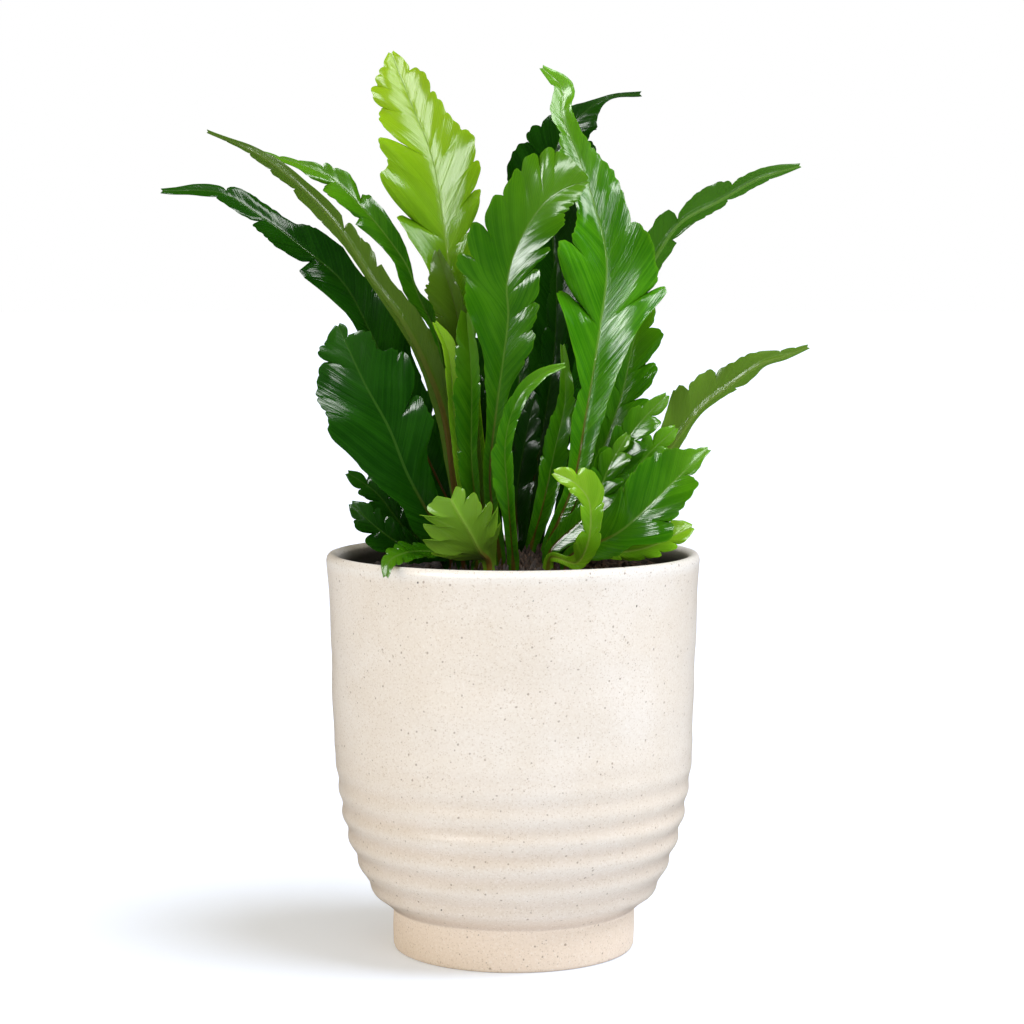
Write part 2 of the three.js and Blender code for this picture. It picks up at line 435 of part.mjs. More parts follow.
// A frond with its stub in the crown, its thick midrib and its folded, lobed and ruffled halves
function frondGeometry(frond) {
  const rib = ribOf(frond);
  const stub = stubLength / rib.length;
  const half = 0.5 * bladeThickness;
  const [left, right] = [1, -1].map((side) => marginRows(cutsOf(frond, side), stub).map((place) => {
    return pairAt(marginAt(frond, rib, place, side), half, half);
  }));
  const end = 0.5 * (left.at(-1).s + right.at(-1).s);
  const steps = [-stub];
  for (let k = 0; k <= ribSteps; k += 1) {
    steps.push(end * k / ribSteps);
  }
  const ridge = steps.map((s) => {
    const thin = 1 - Math.max(s, 0);
    const depth = ribAtTip + (ribAtRoot - ribAtTip) * thin * thin;
    return pairAt({ ...frameAt(frond, rib, s), s }, half, depth - half);
  });
  return thinBody(ridge, left, right);
}

// A solid for joins and cuts from a geometry, and back
function toSolid(geometry) {
  const bare = geometry.clone();
  bare.deleteAttribute("normal");
  bare.deleteAttribute("uv");
  const merged = mergeVertices(bare, 1e-4);
  const vertProperties = new Float32Array(merged.attributes.position.array);
  const triVerts = new Uint32Array(merged.index.array);
  return new wasm.Manifold(new wasm.Mesh({ numProp: 3, vertProperties, triVerts }));
}

function toGeometry(solid) {
  const { vertProperties, triVerts } = solid.getMesh();
  const geometry = new THREE.BufferGeometry();
  geometry.setAttribute("position", new THREE.BufferAttribute(new Float32Array(vertProperties), 3));
  geometry.setIndex(new THREE.BufferAttribute(new Uint32Array(triVerts), 1));
  return geometry;
}

// A body of revolution round the Z axis from a profile of radius and height
function turned(profile, sides) {
  const points = profile.map(([radius, height]) => new THREE.Vector2(radius, height));
  const geometry = new THREE.LatheGeometry(points, sides);
  geometry.rotateX(Math.PI / 2);
  return geometry;
}

// Outer radius of the pot at a height, with its throwing rings, which fade upwards
function potRadius(height) {
  const k = Math.max(1, bodyOutline.findIndex(([, z]) => z >= height));
  const [[r0, z0], [r1, z1]] = [bodyOutline[k - 1], bodyOutline[k]];
  const plain = r0 + (r1 - r0) * (height - z0) / (z1 - z0);
  const fade = 1 - smooth(0.5 * ringsFadeAt, ringsFadeAt, height);
  return plain + ringDepth * fade * 0.5 * Math.cos(2 * Math.PI * (height - 23) / ringPitch);
}

// Profile of the pot's inside, from the axis out and up to the lip
function innerProfile(gap) {
  const inner = [[0, floorHeight + gap], [34 - gap, floorHeight + gap], [44 - gap, 17 + gap]];
  [28, 41, 55, 73, 100, 130].forEach((z) => {
    inner.push([potRadius(z) - wallThickness - gap, z + 2]);
  });
  return inner;
}

function pot() {
  const profile = [[0, 0], [footRadius - 1.2, 0], [footRadius, 1.5], [footRadius, footHeight - 1]];
  for (let z = 18; z < ringsFadeAt; z += ringPitch / 2) {
    profile.push([potRadius(z), z]);
  }
  [105, 125, 142].forEach((z) => profile.push([potRadius(z), z]));
  profile.push([73, 152.5], [72.6, 155], [71, potHeight], [69, 155.4], [67.4, 153]);
  profile.push(...innerProfile(0).reverse());
  return turned(profile, potSides);
}

// Soil that fills the pot, with a lumpy top and a plain recess for the crown
function soil(crownHole) {
  const edge = potRadius(soilLevel) - wallThickness - clearance;
  const profile = [...innerProfile(clearance), [edge, soilLevel]];
  [0.85, 0.7, 0.55].forEach((share) => profile.push([edge * share, soilLevel]));
  profile.push([0, soilLevel]);
  const geometry = toGeometry(toSolid(turned(profile, potSides)));
  const position = geometry.attributes.position;
  for (let k = 0; k < position.count; k += 1) {
    const [x, y, z] = [position.getX(k), position.getY(k), position.getZ(k)];
    if (z > soilLevel - 0.1 && Math.hypot(x, y) < edge - 1) {
      const lumps = Math.sin(x * 0.21 + 1) * Math.cos(y * 0.17) + 0.5 * Math.sin(x * 0.09 - y * 0.13);
      position.setZ(k, z + soilBumps * lumps * 0.6);
    }
  }
  return toGeometry(toSolid(geometry).subtract(crownHole));
}

// The crown's dome, sunk in the soil
function crownBody(gap) {
  const foot = soilLevel - crownDepth - gap;
  const profile = [[0, foot], [crownRadius - 6 + gap, foot], [crownRadius + gap, soilLevel - 3]];
  [1, 0.75, 0.45].forEach((share) => {
    profile.push([crownRadius * share + gap, crownTop(crownRadius * share, 0) + gap]);
  });
  profile.push([0, crownTop(0, 0) + gap]);
  return turned(profile, crownSides);
}

// A plain slot along a frond's stub, a little wider than the stub itself
function stubSlot(frond) {
  const rib = ribOf(frond);
  const { point, along, up, left } = frameAt(frond, rib, 0);
  const wide = 2 * (frond.left[0] + 2 * clearance);
  const deep = ribAtRoot + 4 * clearance;
  const long = 2 * stubLength + 2 * clearance;
  const geometry = new THREE.BoxGeometry(wide, deep, long);
  const middle = point.clone().addScaledVector(up, -0.5 * (ribAtRoot - bladeThickness));
  const matrix = new THREE.Matrix4().makeBasis(left, up, along);
  geometry.applyMatrix4(matrix);
  geometry.translate(middle.x, middle.y, middle.z);
  return toSolid(geometry);
}

function material(color, roughness) {
  return new THREE.MeshStandardMaterial({ color, roughness, metalness: 0 });
}

const group = new THREE.Group();

function add(name, geometry, finish) {
  const mesh = new THREE.Mesh(geometry, finish);
  mesh.name = name;
  group.add(mesh);
}

const crownHole = toSolid(crownBody(clearance));
let slotted = toSolid(crownBody(0));
fronds.forEach((frond) => {
  slotted = slotted.subtract(stubSlot(frond));
});
const crown = slotted.decompose().sort((a, b) => b.volume() - a.volume())[0];

add("pot", pot(), material(stonewareColour, 0.45));
add("soil", soil(crownHole), material(soilColour, 0.95));
add("crown", toGeometry(crown), material(crownColour, 0.9));
fronds.forEach((frond) => add(frond.name, frondGeometry(frond), material(leafColours[frond.tone], 0.3)));

export default group;
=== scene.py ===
"""Potted bird's nest fern: lobed glossy fronds over a speckled stoneware pot."""

import math

import bpy
import numpy as np
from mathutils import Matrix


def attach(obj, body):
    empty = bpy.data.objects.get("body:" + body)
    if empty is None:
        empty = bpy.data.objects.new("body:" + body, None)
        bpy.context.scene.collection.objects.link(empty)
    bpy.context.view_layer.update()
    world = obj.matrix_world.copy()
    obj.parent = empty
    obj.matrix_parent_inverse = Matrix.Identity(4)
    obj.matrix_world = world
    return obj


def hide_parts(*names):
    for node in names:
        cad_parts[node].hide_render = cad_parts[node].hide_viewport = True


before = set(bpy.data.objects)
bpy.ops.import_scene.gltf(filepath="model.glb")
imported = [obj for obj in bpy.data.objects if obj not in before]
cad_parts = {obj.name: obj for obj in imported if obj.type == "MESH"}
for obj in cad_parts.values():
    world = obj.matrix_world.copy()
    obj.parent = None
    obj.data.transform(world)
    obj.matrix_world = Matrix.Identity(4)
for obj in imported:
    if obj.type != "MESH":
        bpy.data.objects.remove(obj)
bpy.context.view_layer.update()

bl_info = {
    "name": "Potted bird's nest fern",
    "version": (1, 0, 0),
    "blender": (4, 5, 0),
    "location": "View3D > Sidebar > Fern",
    "description": "Makes a bird's nest fern with lobed fronds in a stoneware pot",
    "category": "Add Mesh",
}

MM = 0.001

# Pot, in millimetres; outlines are distances from the axis and heights
POT_HEIGHT = 156.0
FOOT_HEIGHT = 16.0
WALL = 5.5
FLOOR_HEIGHT = 10.0
RING_PITCH = 10.0
FIRST_RING = 23.0
RINGS_FADE_AT = 90.0
BAND_PITCH = 25.0
FOOT_OUTLINE = [
    (0, 0.6), (36, 0.6), (39, 0), (46.3, 0), (47.1, 0.4), (47.5, 1.5), (47.7, 8), (47.5, 15), (47.8, 16),
]
BODY_OUTLINE = [
    (50.5, 18), (54.6, 22), (58.6, 28.6), (63.8, 41.4), (67.2, 54.3), (69.7, 73), (70.6, 92), (71.4, 120),
    (72, 142), (73, 153.5),
]
RIM_OUTLINE = [
    (73.0, 153.4), (72.7, 154.8), (72.0, 155.7), (71.0, 156.0), (70.0, 155.8), (69.0, 155.2), (68.0, 154.0),
]

# Soil and crown, in millimetres
SOIL_LEVEL = 148.0
SOIL_RADIUS = 66.2
SOIL_UNDERSIDE = 118.0
CROWN_RADIUS = 28.0
CROWN_RISE = 9.0
CROWN_UNDERSIDE = 136.0

# Fronds, in millimetres or as shares
RIB_AT_ROOT = 2.4
RIB_AT_TIP = 1.2
RIDGE_OVER = 0.35
RIDGE_UNDER = 1.3
MARGIN_THINNING = 0.55
NARROWEST = 0.6
STUB_LENGTH = 7.0
ROOT_RISE = 6.0
ROOT_LEAN = 0.3
SWEEP = 0.85
LEAD = 0.4
ROW_SPACING = 0.12
TOOTH = 4.2
HOOK = 0.35
VEIN_PITCH = 1.1
VEIN_SLANT = 0.75

# Stage: linear colours, and how far the camera stands beside the pot's axis, in millimetres
WHITE = (1.0, 1.0, 1.0)
BLACK = (0.0, 0.0, 0.0)
FLOOR_COLOUR = (0.82, 0.89, 1.0)
AMBIENT_COLOUR = (1.0, 0.92, 0.80)
CAMERA_ASIDE = -0.6

# Each frond has a root on the crown, a midrib through the points after it, the way its upper side looks from
# root to tip, and half widths evenly spaced from root to tip. A cut is a place along the midrib and the share
# of the half width that is notched there. Where a frond has no cuts, lobes says how many are spread by rule,
# from where to where, and how deep. USUAL is what a frond has that says nothing else, and the next three are
# what fronds at the back, low ones and short ones share.
USUAL = dict(face=[[0, -1, 0], [0, -1, 0]], wave=0.1, waves=3)
# The dark tone of back and low fronds is partly their own deep green and partly painted shading
BACK = dict(tone="dark", fold=[30, 12], wave=0.16, waves=4, lobes=[5, 0.3, 0.93, 0.42])
LOW = dict(tone="dark", fold=[25, 12], lobes=[4, 0.3, 0.93, 0.42])
SHORT = dict(tone="mid", fold=[25, 12], lobes=[4, 0.35, 0.93, 0.5])
FROND_SHAPES = [
    dict(name="tall_left", tone="lime", seed=1, root=[-11, -4], rib=[[-15, -11, 200], [-21, -14, 239], [-26,
         -14, 277], [-31, -11, 308], [-39, -8, 329], [-47, -5, 349]], face=[[0, -1, 0], [0, -1, 0], [0, -1,
         0.1]], fold=[35, 8], wave=0.16, waves=4, left=[2, 3, 4.5, 6, 6.5, 6, 7, 12.5, 22, 20.5, 15.5, 12.5,
         1], right=[2, 3, 3.5, 4.5, 5.5, 7.5, 10, 12.5, 17, 17.5, 11.5, 9, 1], left_cuts=[[0.66, 0.47],
         [0.75, 0.08], [0.81, 0.54], [0.89, 0.2], [0.93, 0.1], [0.97, 0.1]], right_cuts=[[0.62, 0.39],
         [0.68, 0.3], [0.73, 0.11], [0.79, 0.07], [0.83, 0.05], [0.88, 0.1], [0.95, 0.36]]),
    dict(name="front_middle", tone="mid", seed=2, root=[-5, -17], rib=[[-9, -26, 186], [-6, -31, 217], [-2,
         -34, 248], [-2.5, -35, 260.1], [0.2, -35, 271.3], [6.2, -34, 283.6], [12.9, -33, 291.8], [20.1,
         -31, 296.4], [28, -29, 299.1]], face=[[0, -1, 0], [0, -1, 0], [0, -1, 0.1]], fold=[35, 12],
         wave=0.16, waves=4, left=[2, 3, 3, 3, 3.5, 6.5, 10.5, 20, 18.5, 18.5, 15, 17, 1], right=[2, 3, 3,
         4.5, 5, 5, 11, 12, 14, 14, 12.5, 8, 1], left_cuts=[[0.71, 0.28], [0.76, 0.28], [0.82, 0.16], [0.88,
         0.22], [0.92, 0.23], [0.94, 0.11]], right_cuts=[[0.49, 0.12], [0.56, 0.25], [0.62, 0.29], [0.68,
         0.26], [0.76, 0.34], [0.87, 0.08]]),
    dict(name="tall_right", tone="mid", seed=3, root=[12, -7], rib=[[23, -9, 183], [28, -9, 210], [33, -7,
         241], [36, -4, 269], [31, -1, 292], [25, 1, 310], [19, 2, 326], [19, 3, 336], [11, 2, 344]],
         face=[[0, -1, 0], [0, -1, 0], [-0.2, -1, 0.1]], fold=[35, 12], wave=0.16, waves=4, left=[2, 3, 4,
         6, 7, 13.5, 24.5, 20, 9.5, 8, 6, 4.5, 1], right=[2, 3, 4.5, 7, 10, 14, 26, 19, 14.5, 10, 6, 5, 1],
         left_cuts=[[0.34, 0.46], [0.51, 0.63], [0.59, 0.28], [0.7, 0.11], [0.86, 0.55]], right_cuts=[[0.52,
         0.31], [0.64, 0.22], [0.8, 0.1], [0.88, 0.15]]),
    dict(name="behind_right", tone="dark", seed=4, root=[8, 10], rib=[[14, 17, 203], [17, 21, 254], [15, 22,
         294], [18, 22, 317], [28, 21, 328], [38, 20, 334], [50, 18, 335]], face=[[0, -1, 0], [0, -1, 0],
         [0, -1, 0.2]], fold=[35, 10], wave=0.16, waves=4, left=[2, 3, 4.5, 7, 10.5, 14.5, 18, 19, 20.5, 17,
         8, 1.5, 1], right=[2, 3.5, 4.5, 6.5, 8.5, 11, 14, 21, 24, 19, 12, 2, 1], left_cuts=[[0.69, 0.17],
         [0.78, 0.21], [0.81, 0.14]], right_cuts=[[0.72, 0.12], [0.79, 0.12]]),
    dict(name="upper_right", tone="mid", seed=5, root=[16, 9], rib=[[36.7, 18, 223.8], [47.1, 22, 253.5],
         [58.7, 25, 274.9], [66.6, 26, 285.2], [82.1, 26, 293.9], [96.6, 25, 302.1], [113.5, 24, 307.2]],
         face=[[-0.6, 0.6, 0.3], [-0.3, 0.9, 0.4], [-0.3, 0.8, 0.5]], fold=[30, 15], wave=0.14, waves=5,
         left=[2, 2, 2.5, 2.5, 3, 4, 6, 7, 8, 7, 6, 4, 1], right=[2, 2, 2.5, 2.5, 3, 5, 8, 9.5, 8.5, 8, 7,
         4, 1], left_cuts=[[0.7, 0.6], [0.84, 0.6], [0.93, 0.3]], right_cuts=[[0.74, 0.72], [0.86, 0.4]]),
    dict(name="lobed_right", tone="mid", seed=6, root=[14, 2], rib=[[30, 7, 184], [42, 9, 215], [47, 9,
         237], [53, 7, 257]], face=[[0, -1, 0], [0, -1, 0.2]], fold=[35, 15], wave=0.16, lobes=[5, 0.35,
         0.93, 0.45], left=[2, 4, 8, 11, 13, 12, 9, 1], right=[2, 4, 8, 11, 12, 13, 10, 1]),
    dict(name="lower_right", tone="olive", seed=7, root=[23, 3], rib=[[42.5, 2, 174.2], [53.9, 3, 187.9],
         [64.1, 4, 200.4], [73.1, 5, 212.1], [84.7, 4, 221.2], [96.2, 2, 229.4], [105.8, 1, 232.6], [114.7,
         0, 236.1]], face=[[-0.3, 1, 0.3], [-0.3, 1, 0.4]], fold=[25, 12], wave=0.14, waves=6, left=[2, 3.5,
         4, 4, 4, 5, 4, 3, 3.5, 6, 3, 2, 1], right=[2, 3.5, 4.5, 5, 6, 7.5, 9.5, 12.5, 9.5, 8.5, 5, 3, 1],
         left_cuts=[[0.74, 0.41], [0.84, 0.05]], right_cuts=[[0.62, 0.23], [0.71, 0.32], [0.91, 0.29],
         [0.96, 0.2]]),
    dict(name="front_right", tone="mid", seed=8, root=[20, -15], rib=[[40, -28, 166], [52, -32, 177], [64,
         -32, 189], [74, -30, 198]], face=[[-0.1, -1, 0.3], [-0.1, -1, 0.3]], fold=[25, 12], left=[2, 3, 4,
         7, 11, 13.5, 14, 14.5, 14.5, 12.5, 9, 5, 1], right=[2, 4, 5.5, 8, 9, 9, 15, 14.5, 11.5, 10, 8, 2.5,
         1], left_cuts=[[0.51, 0.33], [0.59, 0.08], [0.77, 0.07], [0.94, 0.14]], right_cuts=[[0.59, 0.3],
         [0.85, 0.67]]),
    dict(name="young_bright", tone="bright", seed=9, root=[13, -20], rib=[[24, -32, 155], [28, -38, 163],
         [29, -40, 172], [28, -41, 180], [23, -42, 186], [15, -42, 190]], face=[[0, -1, 0.1], [0, -1, 0.1]],
         fold=[30, 12], wave=0.08, waves=2, left=[2, 2, 2.5, 7, 5, 4, 5, 4, 1], right=[2, 2, 2, 4, 5, 5, 7,
         7, 1], left_cuts=[[0.36, 0.3], [0.55, 0.6], [0.7, 0.3], [0.86, 0.3]], right_cuts=[[0.36, 0.2],
         [0.55, 0.3], [0.7, 0.25], [0.89, 0.6]]),
    dict(name="small_pale", tone="bright", seed=10, root=[23.5, -4], rib=[[45, -14, 157.5], [54, -17, 160],
         [62, -17, 164], [69, -16, 167]], face=[[-0.1, -1, 0.4], [-0.1, -1, 0.4]], fold=[20, 12], lobes=[4,
         0.4, 0.9, 0.35], left=[2, 2, 3, 4, 6, 8, 7, 1], right=[2, 2, 3, 4, 5, 6, 5, 1]),
    dict(name="long_left_low", tone="dark", seed=11, root=[-16, 6], rib=[[-30, 4, 184], [-43, 0, 213], [-55,
         -3, 240], [-66, -5, 261], [-81, -7, 274], [-97, -9, 286], [-112, -10, 295], [-135, -10, 296]],
         face=[[0.3, -1, 0], [0.3, -1, 0.2], [0.2, -1, 0.5]], fold=[35, 10], wave=0.16, waves=5, left=[2, 4,
         5.5, 8, 10.5, 9, 6, 13, 9, 8, 5, 3, 1], right=[2, 4, 5.5, 8, 11.5, 12.5, 12, 8, 9.5, 6, 5.5, 3, 1],
         left_cuts=[[0.68, 0.72], [0.75, 0.11], [0.8, 0.72], [0.89, 0.4]], right_cuts=[[0.88, 0.54], [0.97,
         0.05]]),
    dict(name="long_left_twist", tone="olive", seed=12, root=[-19, -8.5], rib=[[-23, -14, 185], [-27, -18,
         212], [-34, -20, 231], [-43, -22, 248], [-54, -23, 263], [-67, -24, 283], [-80, -24, 297], [-97,
         -22, 310], [-116, -20, 318]], face=[[0.3, 1, 0.2], [0.3, 1, 0.3], [0.3, 0.7, 0.7]], fold=[30, 10],
         wave=0.16, waves=5, left=[2, 4, 6.5, 8.5, 6.5, 7, 6, 7, 4.5, 4, 2.5, 1.5, 1], right=[2, 2, 3, 4.5,
         5, 4, 3.5, 3, 4, 7.5, 7, 3, 1], left_cuts=[[0.59, 0.3], [0.65, 0.14], [0.69, 0.72]],
         right_cuts=[[0.8, 0.38], [0.86, 0.39], [0.91, 0.4], [0.96, 0.2]]),
    dict(name="long_left_high", tone="mid", seed=13, root=[-19, -2], rib=[[-22, -2, 188], [-26, -5, 220],
         [-30, -8, 241], [-36, -10, 254], [-41, -11, 267], [-47, -12, 276], [-54, -13, 285], [-69, -14,
         300], [-79, -14, 305], [-95, -14, 310]], face=[[0.3, -1, 0], [0.4, -1, 0.2], [0.2, -1, 0.5]],
         fold=[35, 12], wave=0.16, waves=6, left=[2, 3, 3, 4, 4, 3, 2.5, 7.5, 5.5, 8, 8.5, 3, 1], right=[2,
         3, 4, 5.5, 6, 4.5, 5, 0.5, 5, 6, 5.5, 2, 1], left_cuts=[[0.76, 0.46], [0.86, 0.72]],
         right_cuts=[[0.79, 0.62], [0.86, 0.3], [0.88, 0.41], [0.93, 0.22], [0.97, 0.72]]),
    dict(name="big_left", tone="dark", seed=14, root=[-19, -14], rib=[[-31, -25, 171], [-40, -31, 188],
         [-47, -34, 206], [-56, -36, 223], [-66, -37, 245]], face=[[0.1, -1, 0.1], [0.1, -1, 0.2]],
         fold=[25, 8], left=[2, 4, 6.5, 10, 9, 13.5, 18, 23.5, 22, 20, 15.5, 10.5, 1], right=[2, 3.5, 5, 7,
         8.5, 10.5, 17, 16.5, 20, 19, 11, 9, 1], left_cuts=[[0.69, 0.09], [0.88, 0.28], [0.93, 0.13]],
         right_cuts=[[0.46, 0.13], [0.65, 0.4], [0.75, 0.15], [0.96, 0.72]]),
    dict(LOW, name="low_left_high", seed=15, root=[-25, -3], rib=[[-42, -11, 166], [-53, -14, 180], [-64,
         -15, 188]], face=[[0.2, -1, 0.3], [0.2, -1, 0.3]], lobes=[4, 0.3, 0.93, 0.55], left=[2, 5, 7, 7, 6,
         1], right=[2, 5, 8, 8, 6, 1]),
    dict(LOW, name="low_left_low", seed=16, root=[-24, -8.5], rib=[[-42, -20, 160], [-53, -24, 168], [-62,
         -25, 177]], face=[[0.2, -1, 0.3], [0.2, -1, 0.3]], lobes=[4, 0.3, 0.93, 0.55], left=[2, 4, 7, 9, 7,
         1], right=[2, 4, 7, 8, 7, 1]),
    dict(name="fan_front", tone="olive", seed=17, root=[-9, -24], rib=[[-13, -37, 160.5], [-17, -44, 169],
         [-21, -48, 176], [-24, -50, 182]], face=[[0, 1, 0.1], [0, 1, 0]], fold=[15, 10], left=[2, 4, 11,
         14, 12, 9, 4], right=[2, 4, 12, 17, 16, 13, 4], left_cuts=[[0.26, 0.15], [0.38, 0.3], [0.5, 0.45],
         [0.6, 0.4], [0.72, 0.4], [0.87, 0.5]], right_cuts=[[0.26, 0.15], [0.38, 0.25], [0.5, 0.5], [0.62,
         0.3], [0.75, 0.55], [0.87, 0.5]]),
    dict(name="over_lip", tone="mid", seed=18, root=[-14, -19], rib=[[-32, -33, 159], [-42, -53, 160], [-46,
         -61, 158], [-47, -64, 153]], face=[[0, -0.5, 1], [0, -1, 0.4]], fold=[15, 8], wave=0.06, waves=2,
         lobes=[4, 0.45, 0.92, 0.4], left=[2, 2, 3, 6, 6, 4, 1], right=[2, 2, 3, 6, 6, 4, 1]),
    dict(name="curled_young", tone="mid", seed=19, root=[0, -23], rib=[[-2, -34, 179], [-3, -38, 202], [2,
         -40, 218], [11, -39, 227], [19, -37, 230]], fold=[45, 30], waves=4, lobes=[5, 0.35, 0.93, 0.15],
         left=[2, 3, 4, 8, 5, 4, 3, 1], right=[2, 3, 3, 4, 4, 4, 3, 1]),
    dict(name="folded_middle", tone="mid", seed=20, root=[6, -4], rib=[[11, -5, 173], [16, -4, 196], [20,
         -3, 216], [19, -3, 237]], fold=[40, 30], waves=4, lobes=[5, 0.35, 0.93, 0.15], left=[2, 4, 5, 7, 6,
         4, 2, 1], right=[2, 4, 6, 7, 6, 5, 3, 1]),
    dict(name="dark_middle", tone="dark", seed=21, root=[2, 4], rib=[[10, 9, 195], [16, 9, 235], [17, 7,
         269]], fold=[35, 20], wave=0.16, waves=4, lobes=[5, 0.3, 0.93, 0.3], left=[2, 5, 7, 8, 8, 6, 4, 1],
         right=[2, 5, 7, 8, 8, 6, 4, 1]),
    dict(name="curled_olive", tone="olive", seed=22, root=[-8, -9], rib=[[-14, -14, 186], [-17, -18, 220],
         [-22, -21, 251], [-29, -22, 273]], fold=[35, 20], wave=0.16, waves=4, lobes=[3, 0.65, 0.93, 0.22],
         left=[2, 3, 3, 3, 4, 9, 10, 1], right=[2, 3, 3, 3, 3, 4, 4, 1]),
    dict(name="green_fold", tone="mid", seed=27, root=[-12, -15], rib=[[-14, -20, 171], [-16, -24, 193],
         [-16, -27, 224], [-18, -28, 250]], fold=[40, 30], wave=0.08, lobes=[4, 0.4, 0.93, 0.15], left=[2,
         4, 6, 8, 9, 7, 2], right=[2, 2, 3, 3, 4, 4, 2]),
    dict(name="bright_fold", tone="bright", seed=26, root=[-13, -9], rib=[[-20, -19, 186], [-23, -22, 213],
         [-25, -24, 235], [-30, -26, 246]], face=[[0.3, -1, 0], [0.3, -1, 0]], fold=[40, 30], lobes=[3, 0.6,
         0.93, 0.2], left=[2, 2, 3, 3, 3, 3, 1], right=[2, 2, 3, 3, 5, 5, 1]),
    dict(name="inner_front", tone="dark", seed=28, root=[0, -9], rib=[[1, -10, 176], [4, -11, 198], [8, -12,
         216]], fold=[30, 20], lobes=[4, 0.4, 0.93, 0.2], left=[2, 5, 7, 8, 7, 5, 1], right=[2, 5, 7, 8, 7,
         5, 1]),
    dict(name="inner_left", tone="dark", seed=29, root=[-8, 6], rib=[[-10, 8, 178], [-14, 10, 206], [-18,
         11, 232]], fold=[30, 20], lobes=[5, 0.35, 0.93, 0.2], left=[2, 5, 9, 10, 9, 7, 1], right=[2, 5, 8,
         9, 8, 6, 1]),
    dict(SHORT, name="short_glossy", seed=23, root=[13, -13], rib=[[30, -15, 174], [37, -16, 191], [44, -16,
         203]], left=[2, 4, 6, 7, 7, 5, 1], right=[2, 4, 7, 9, 8, 6, 1]),
    dict(SHORT, name="short_fingers", seed=24, root=[19, -9], rib=[[35, -12, 185], [46, -13, 204], [59, -13,
         218]], left=[2, 4, 6, 8, 8, 6, 1], right=[2, 4, 7, 9, 9, 7, 1]),
    dict(SHORT, name="short_pale", seed=25, root=[18.5, -2], rib=[[38, -5, 174], [50, -6, 192], [63, -6,
         205]], left=[2, 4, 6, 8, 8, 6, 1], right=[2, 4, 6, 8, 8, 6, 1]),
    dict(BACK, name="back_right", seed=31, root=[15, 17], rib=[[28, 28, 185], [40, 42, 214], [48, 54, 231],
         [54, 66, 237]], face=[[-0.5, -0.8, 0.2], [-0.4, -0.7, 0.6]], left=[2, 4, 9, 13, 15, 13, 9, 1],
         right=[2, 4, 8, 12, 15, 14, 9, 1]),
    dict(BACK, name="back_high", seed=32, root=[1, 16], rib=[[2, 30, 195], [2, 46, 238], [0, 66, 268], [-4,
         88, 282]], face=[[0, -1, 0.2], [0, -0.7, 0.6]], lobes=[5, 0.35, 0.93, 0.42], left=[2, 3, 6, 11, 16,
         17, 12, 1], right=[2, 3, 6, 12, 16, 16, 11, 1]),
    dict(BACK, name="back_middle", seed=33, root=[9, 19], rib=[[14, 38, 186], [19, 60, 216], [24, 80, 234],
         [28, 100, 238]], face=[[-0.2, -1, 0.3], [-0.2, -0.6, 0.7]], left=[2, 4, 8, 12, 14, 12, 8, 1],
         right=[2, 4, 8, 12, 14, 12, 8, 1]),
    dict(BACK, name="back_left", seed=34, root=[-6, 19], rib=[[-12, 34, 188], [-20, 52, 222], [-28, 72,
         242], [-36, 90, 246]], face=[[0.2, -1, 0.3], [0.2, -0.6, 0.7]], left=[2, 4, 8, 13, 15, 13, 8, 1],
         right=[2, 4, 8, 12, 15, 13, 9, 1]),
    dict(BACK, name="back_far_left", seed=35, root=[-14, 15], rib=[[-26, 28, 180], [-40, 42, 206], [-52, 54,
         218], [-62, 62, 219]], face=[[0.5, -0.8, 0.3], [0.4, -0.6, 0.7]], left=[2, 4, 8, 12, 13, 11, 7, 1],
         right=[2, 4, 8, 12, 13, 12, 8, 1]),
    dict(LOW, name="back_low_left", seed=36, root=[-22, 6], rib=[[-38, 14, 172], [-50, 22, 188], [-60, 30,
         196]], face=[[0.6, -0.5, 0.7], [0.5, -0.4, 0.8]], left=[2, 4, 8, 10, 9, 1], right=[2, 4, 8, 10, 9,
         1]),
    dict(LOW, name="back_low_right", seed=37, root=[23, 11], rib=[[37, 20, 172], [48, 30, 186], [57, 40,
         190]], face=[[-0.6, -0.5, 0.7], [-0.5, -0.4, 0.8]], left=[2, 4, 8, 10, 9, 1], right=[2, 4, 8, 10,
         9, 1]),
    dict(LOW, name="back_low_middle", seed=38, root=[2, 23], rib=[[3, 42, 168], [4, 60, 180], [4, 78, 182]],
         face=[[0, -0.6, 0.8], [0, -0.3, 1]], left=[2, 4, 9, 11, 9, 1], right=[2, 4, 9, 11, 9, 1]),
]
FRONDS = [{**USUAL, **shape} for shape in FROND_SHAPES]


def smooth(low, high, value):
    """Smoothstep: 0 below low, 1 above high, and 3t^2 - 2t^3 between them."""
    t = np.clip((np.asarray(value, float) - low) / (high - low), 0.0, 1.0)
    return t * t * (3.0 - 2.0 * t)


def chance(seed, number):
    """The part after the point of a large sine, which is a draw between 0 and 1 that repeats."""
    value = np.sin(seed * 12.9898 + np.asarray(number, float) * 78.233) * 43758.5453
    return value - np.floor(value)


def lattice(x, y, seed):
    """Value noise: draws at whole numbers of x and y, blended between them by smoothstep, from -1 to 1."""
    x0, y0 = np.floor(x), np.floor(y)
    u, v = smooth(0, 1, x - x0), smooth(0, 1, y - y0)

    def corner(i, j):
        return chance(seed, (x0 + i) * 1.37 + (y0 + j) * 7.91)

    low = corner(0, 0) * (1 - u) + corner(1, 0) * u
    high = corner(0, 1) * (1 - u) + corner(1, 1) * u
    return 2.0 * (low * (1 - v) + high * v) - 1.0


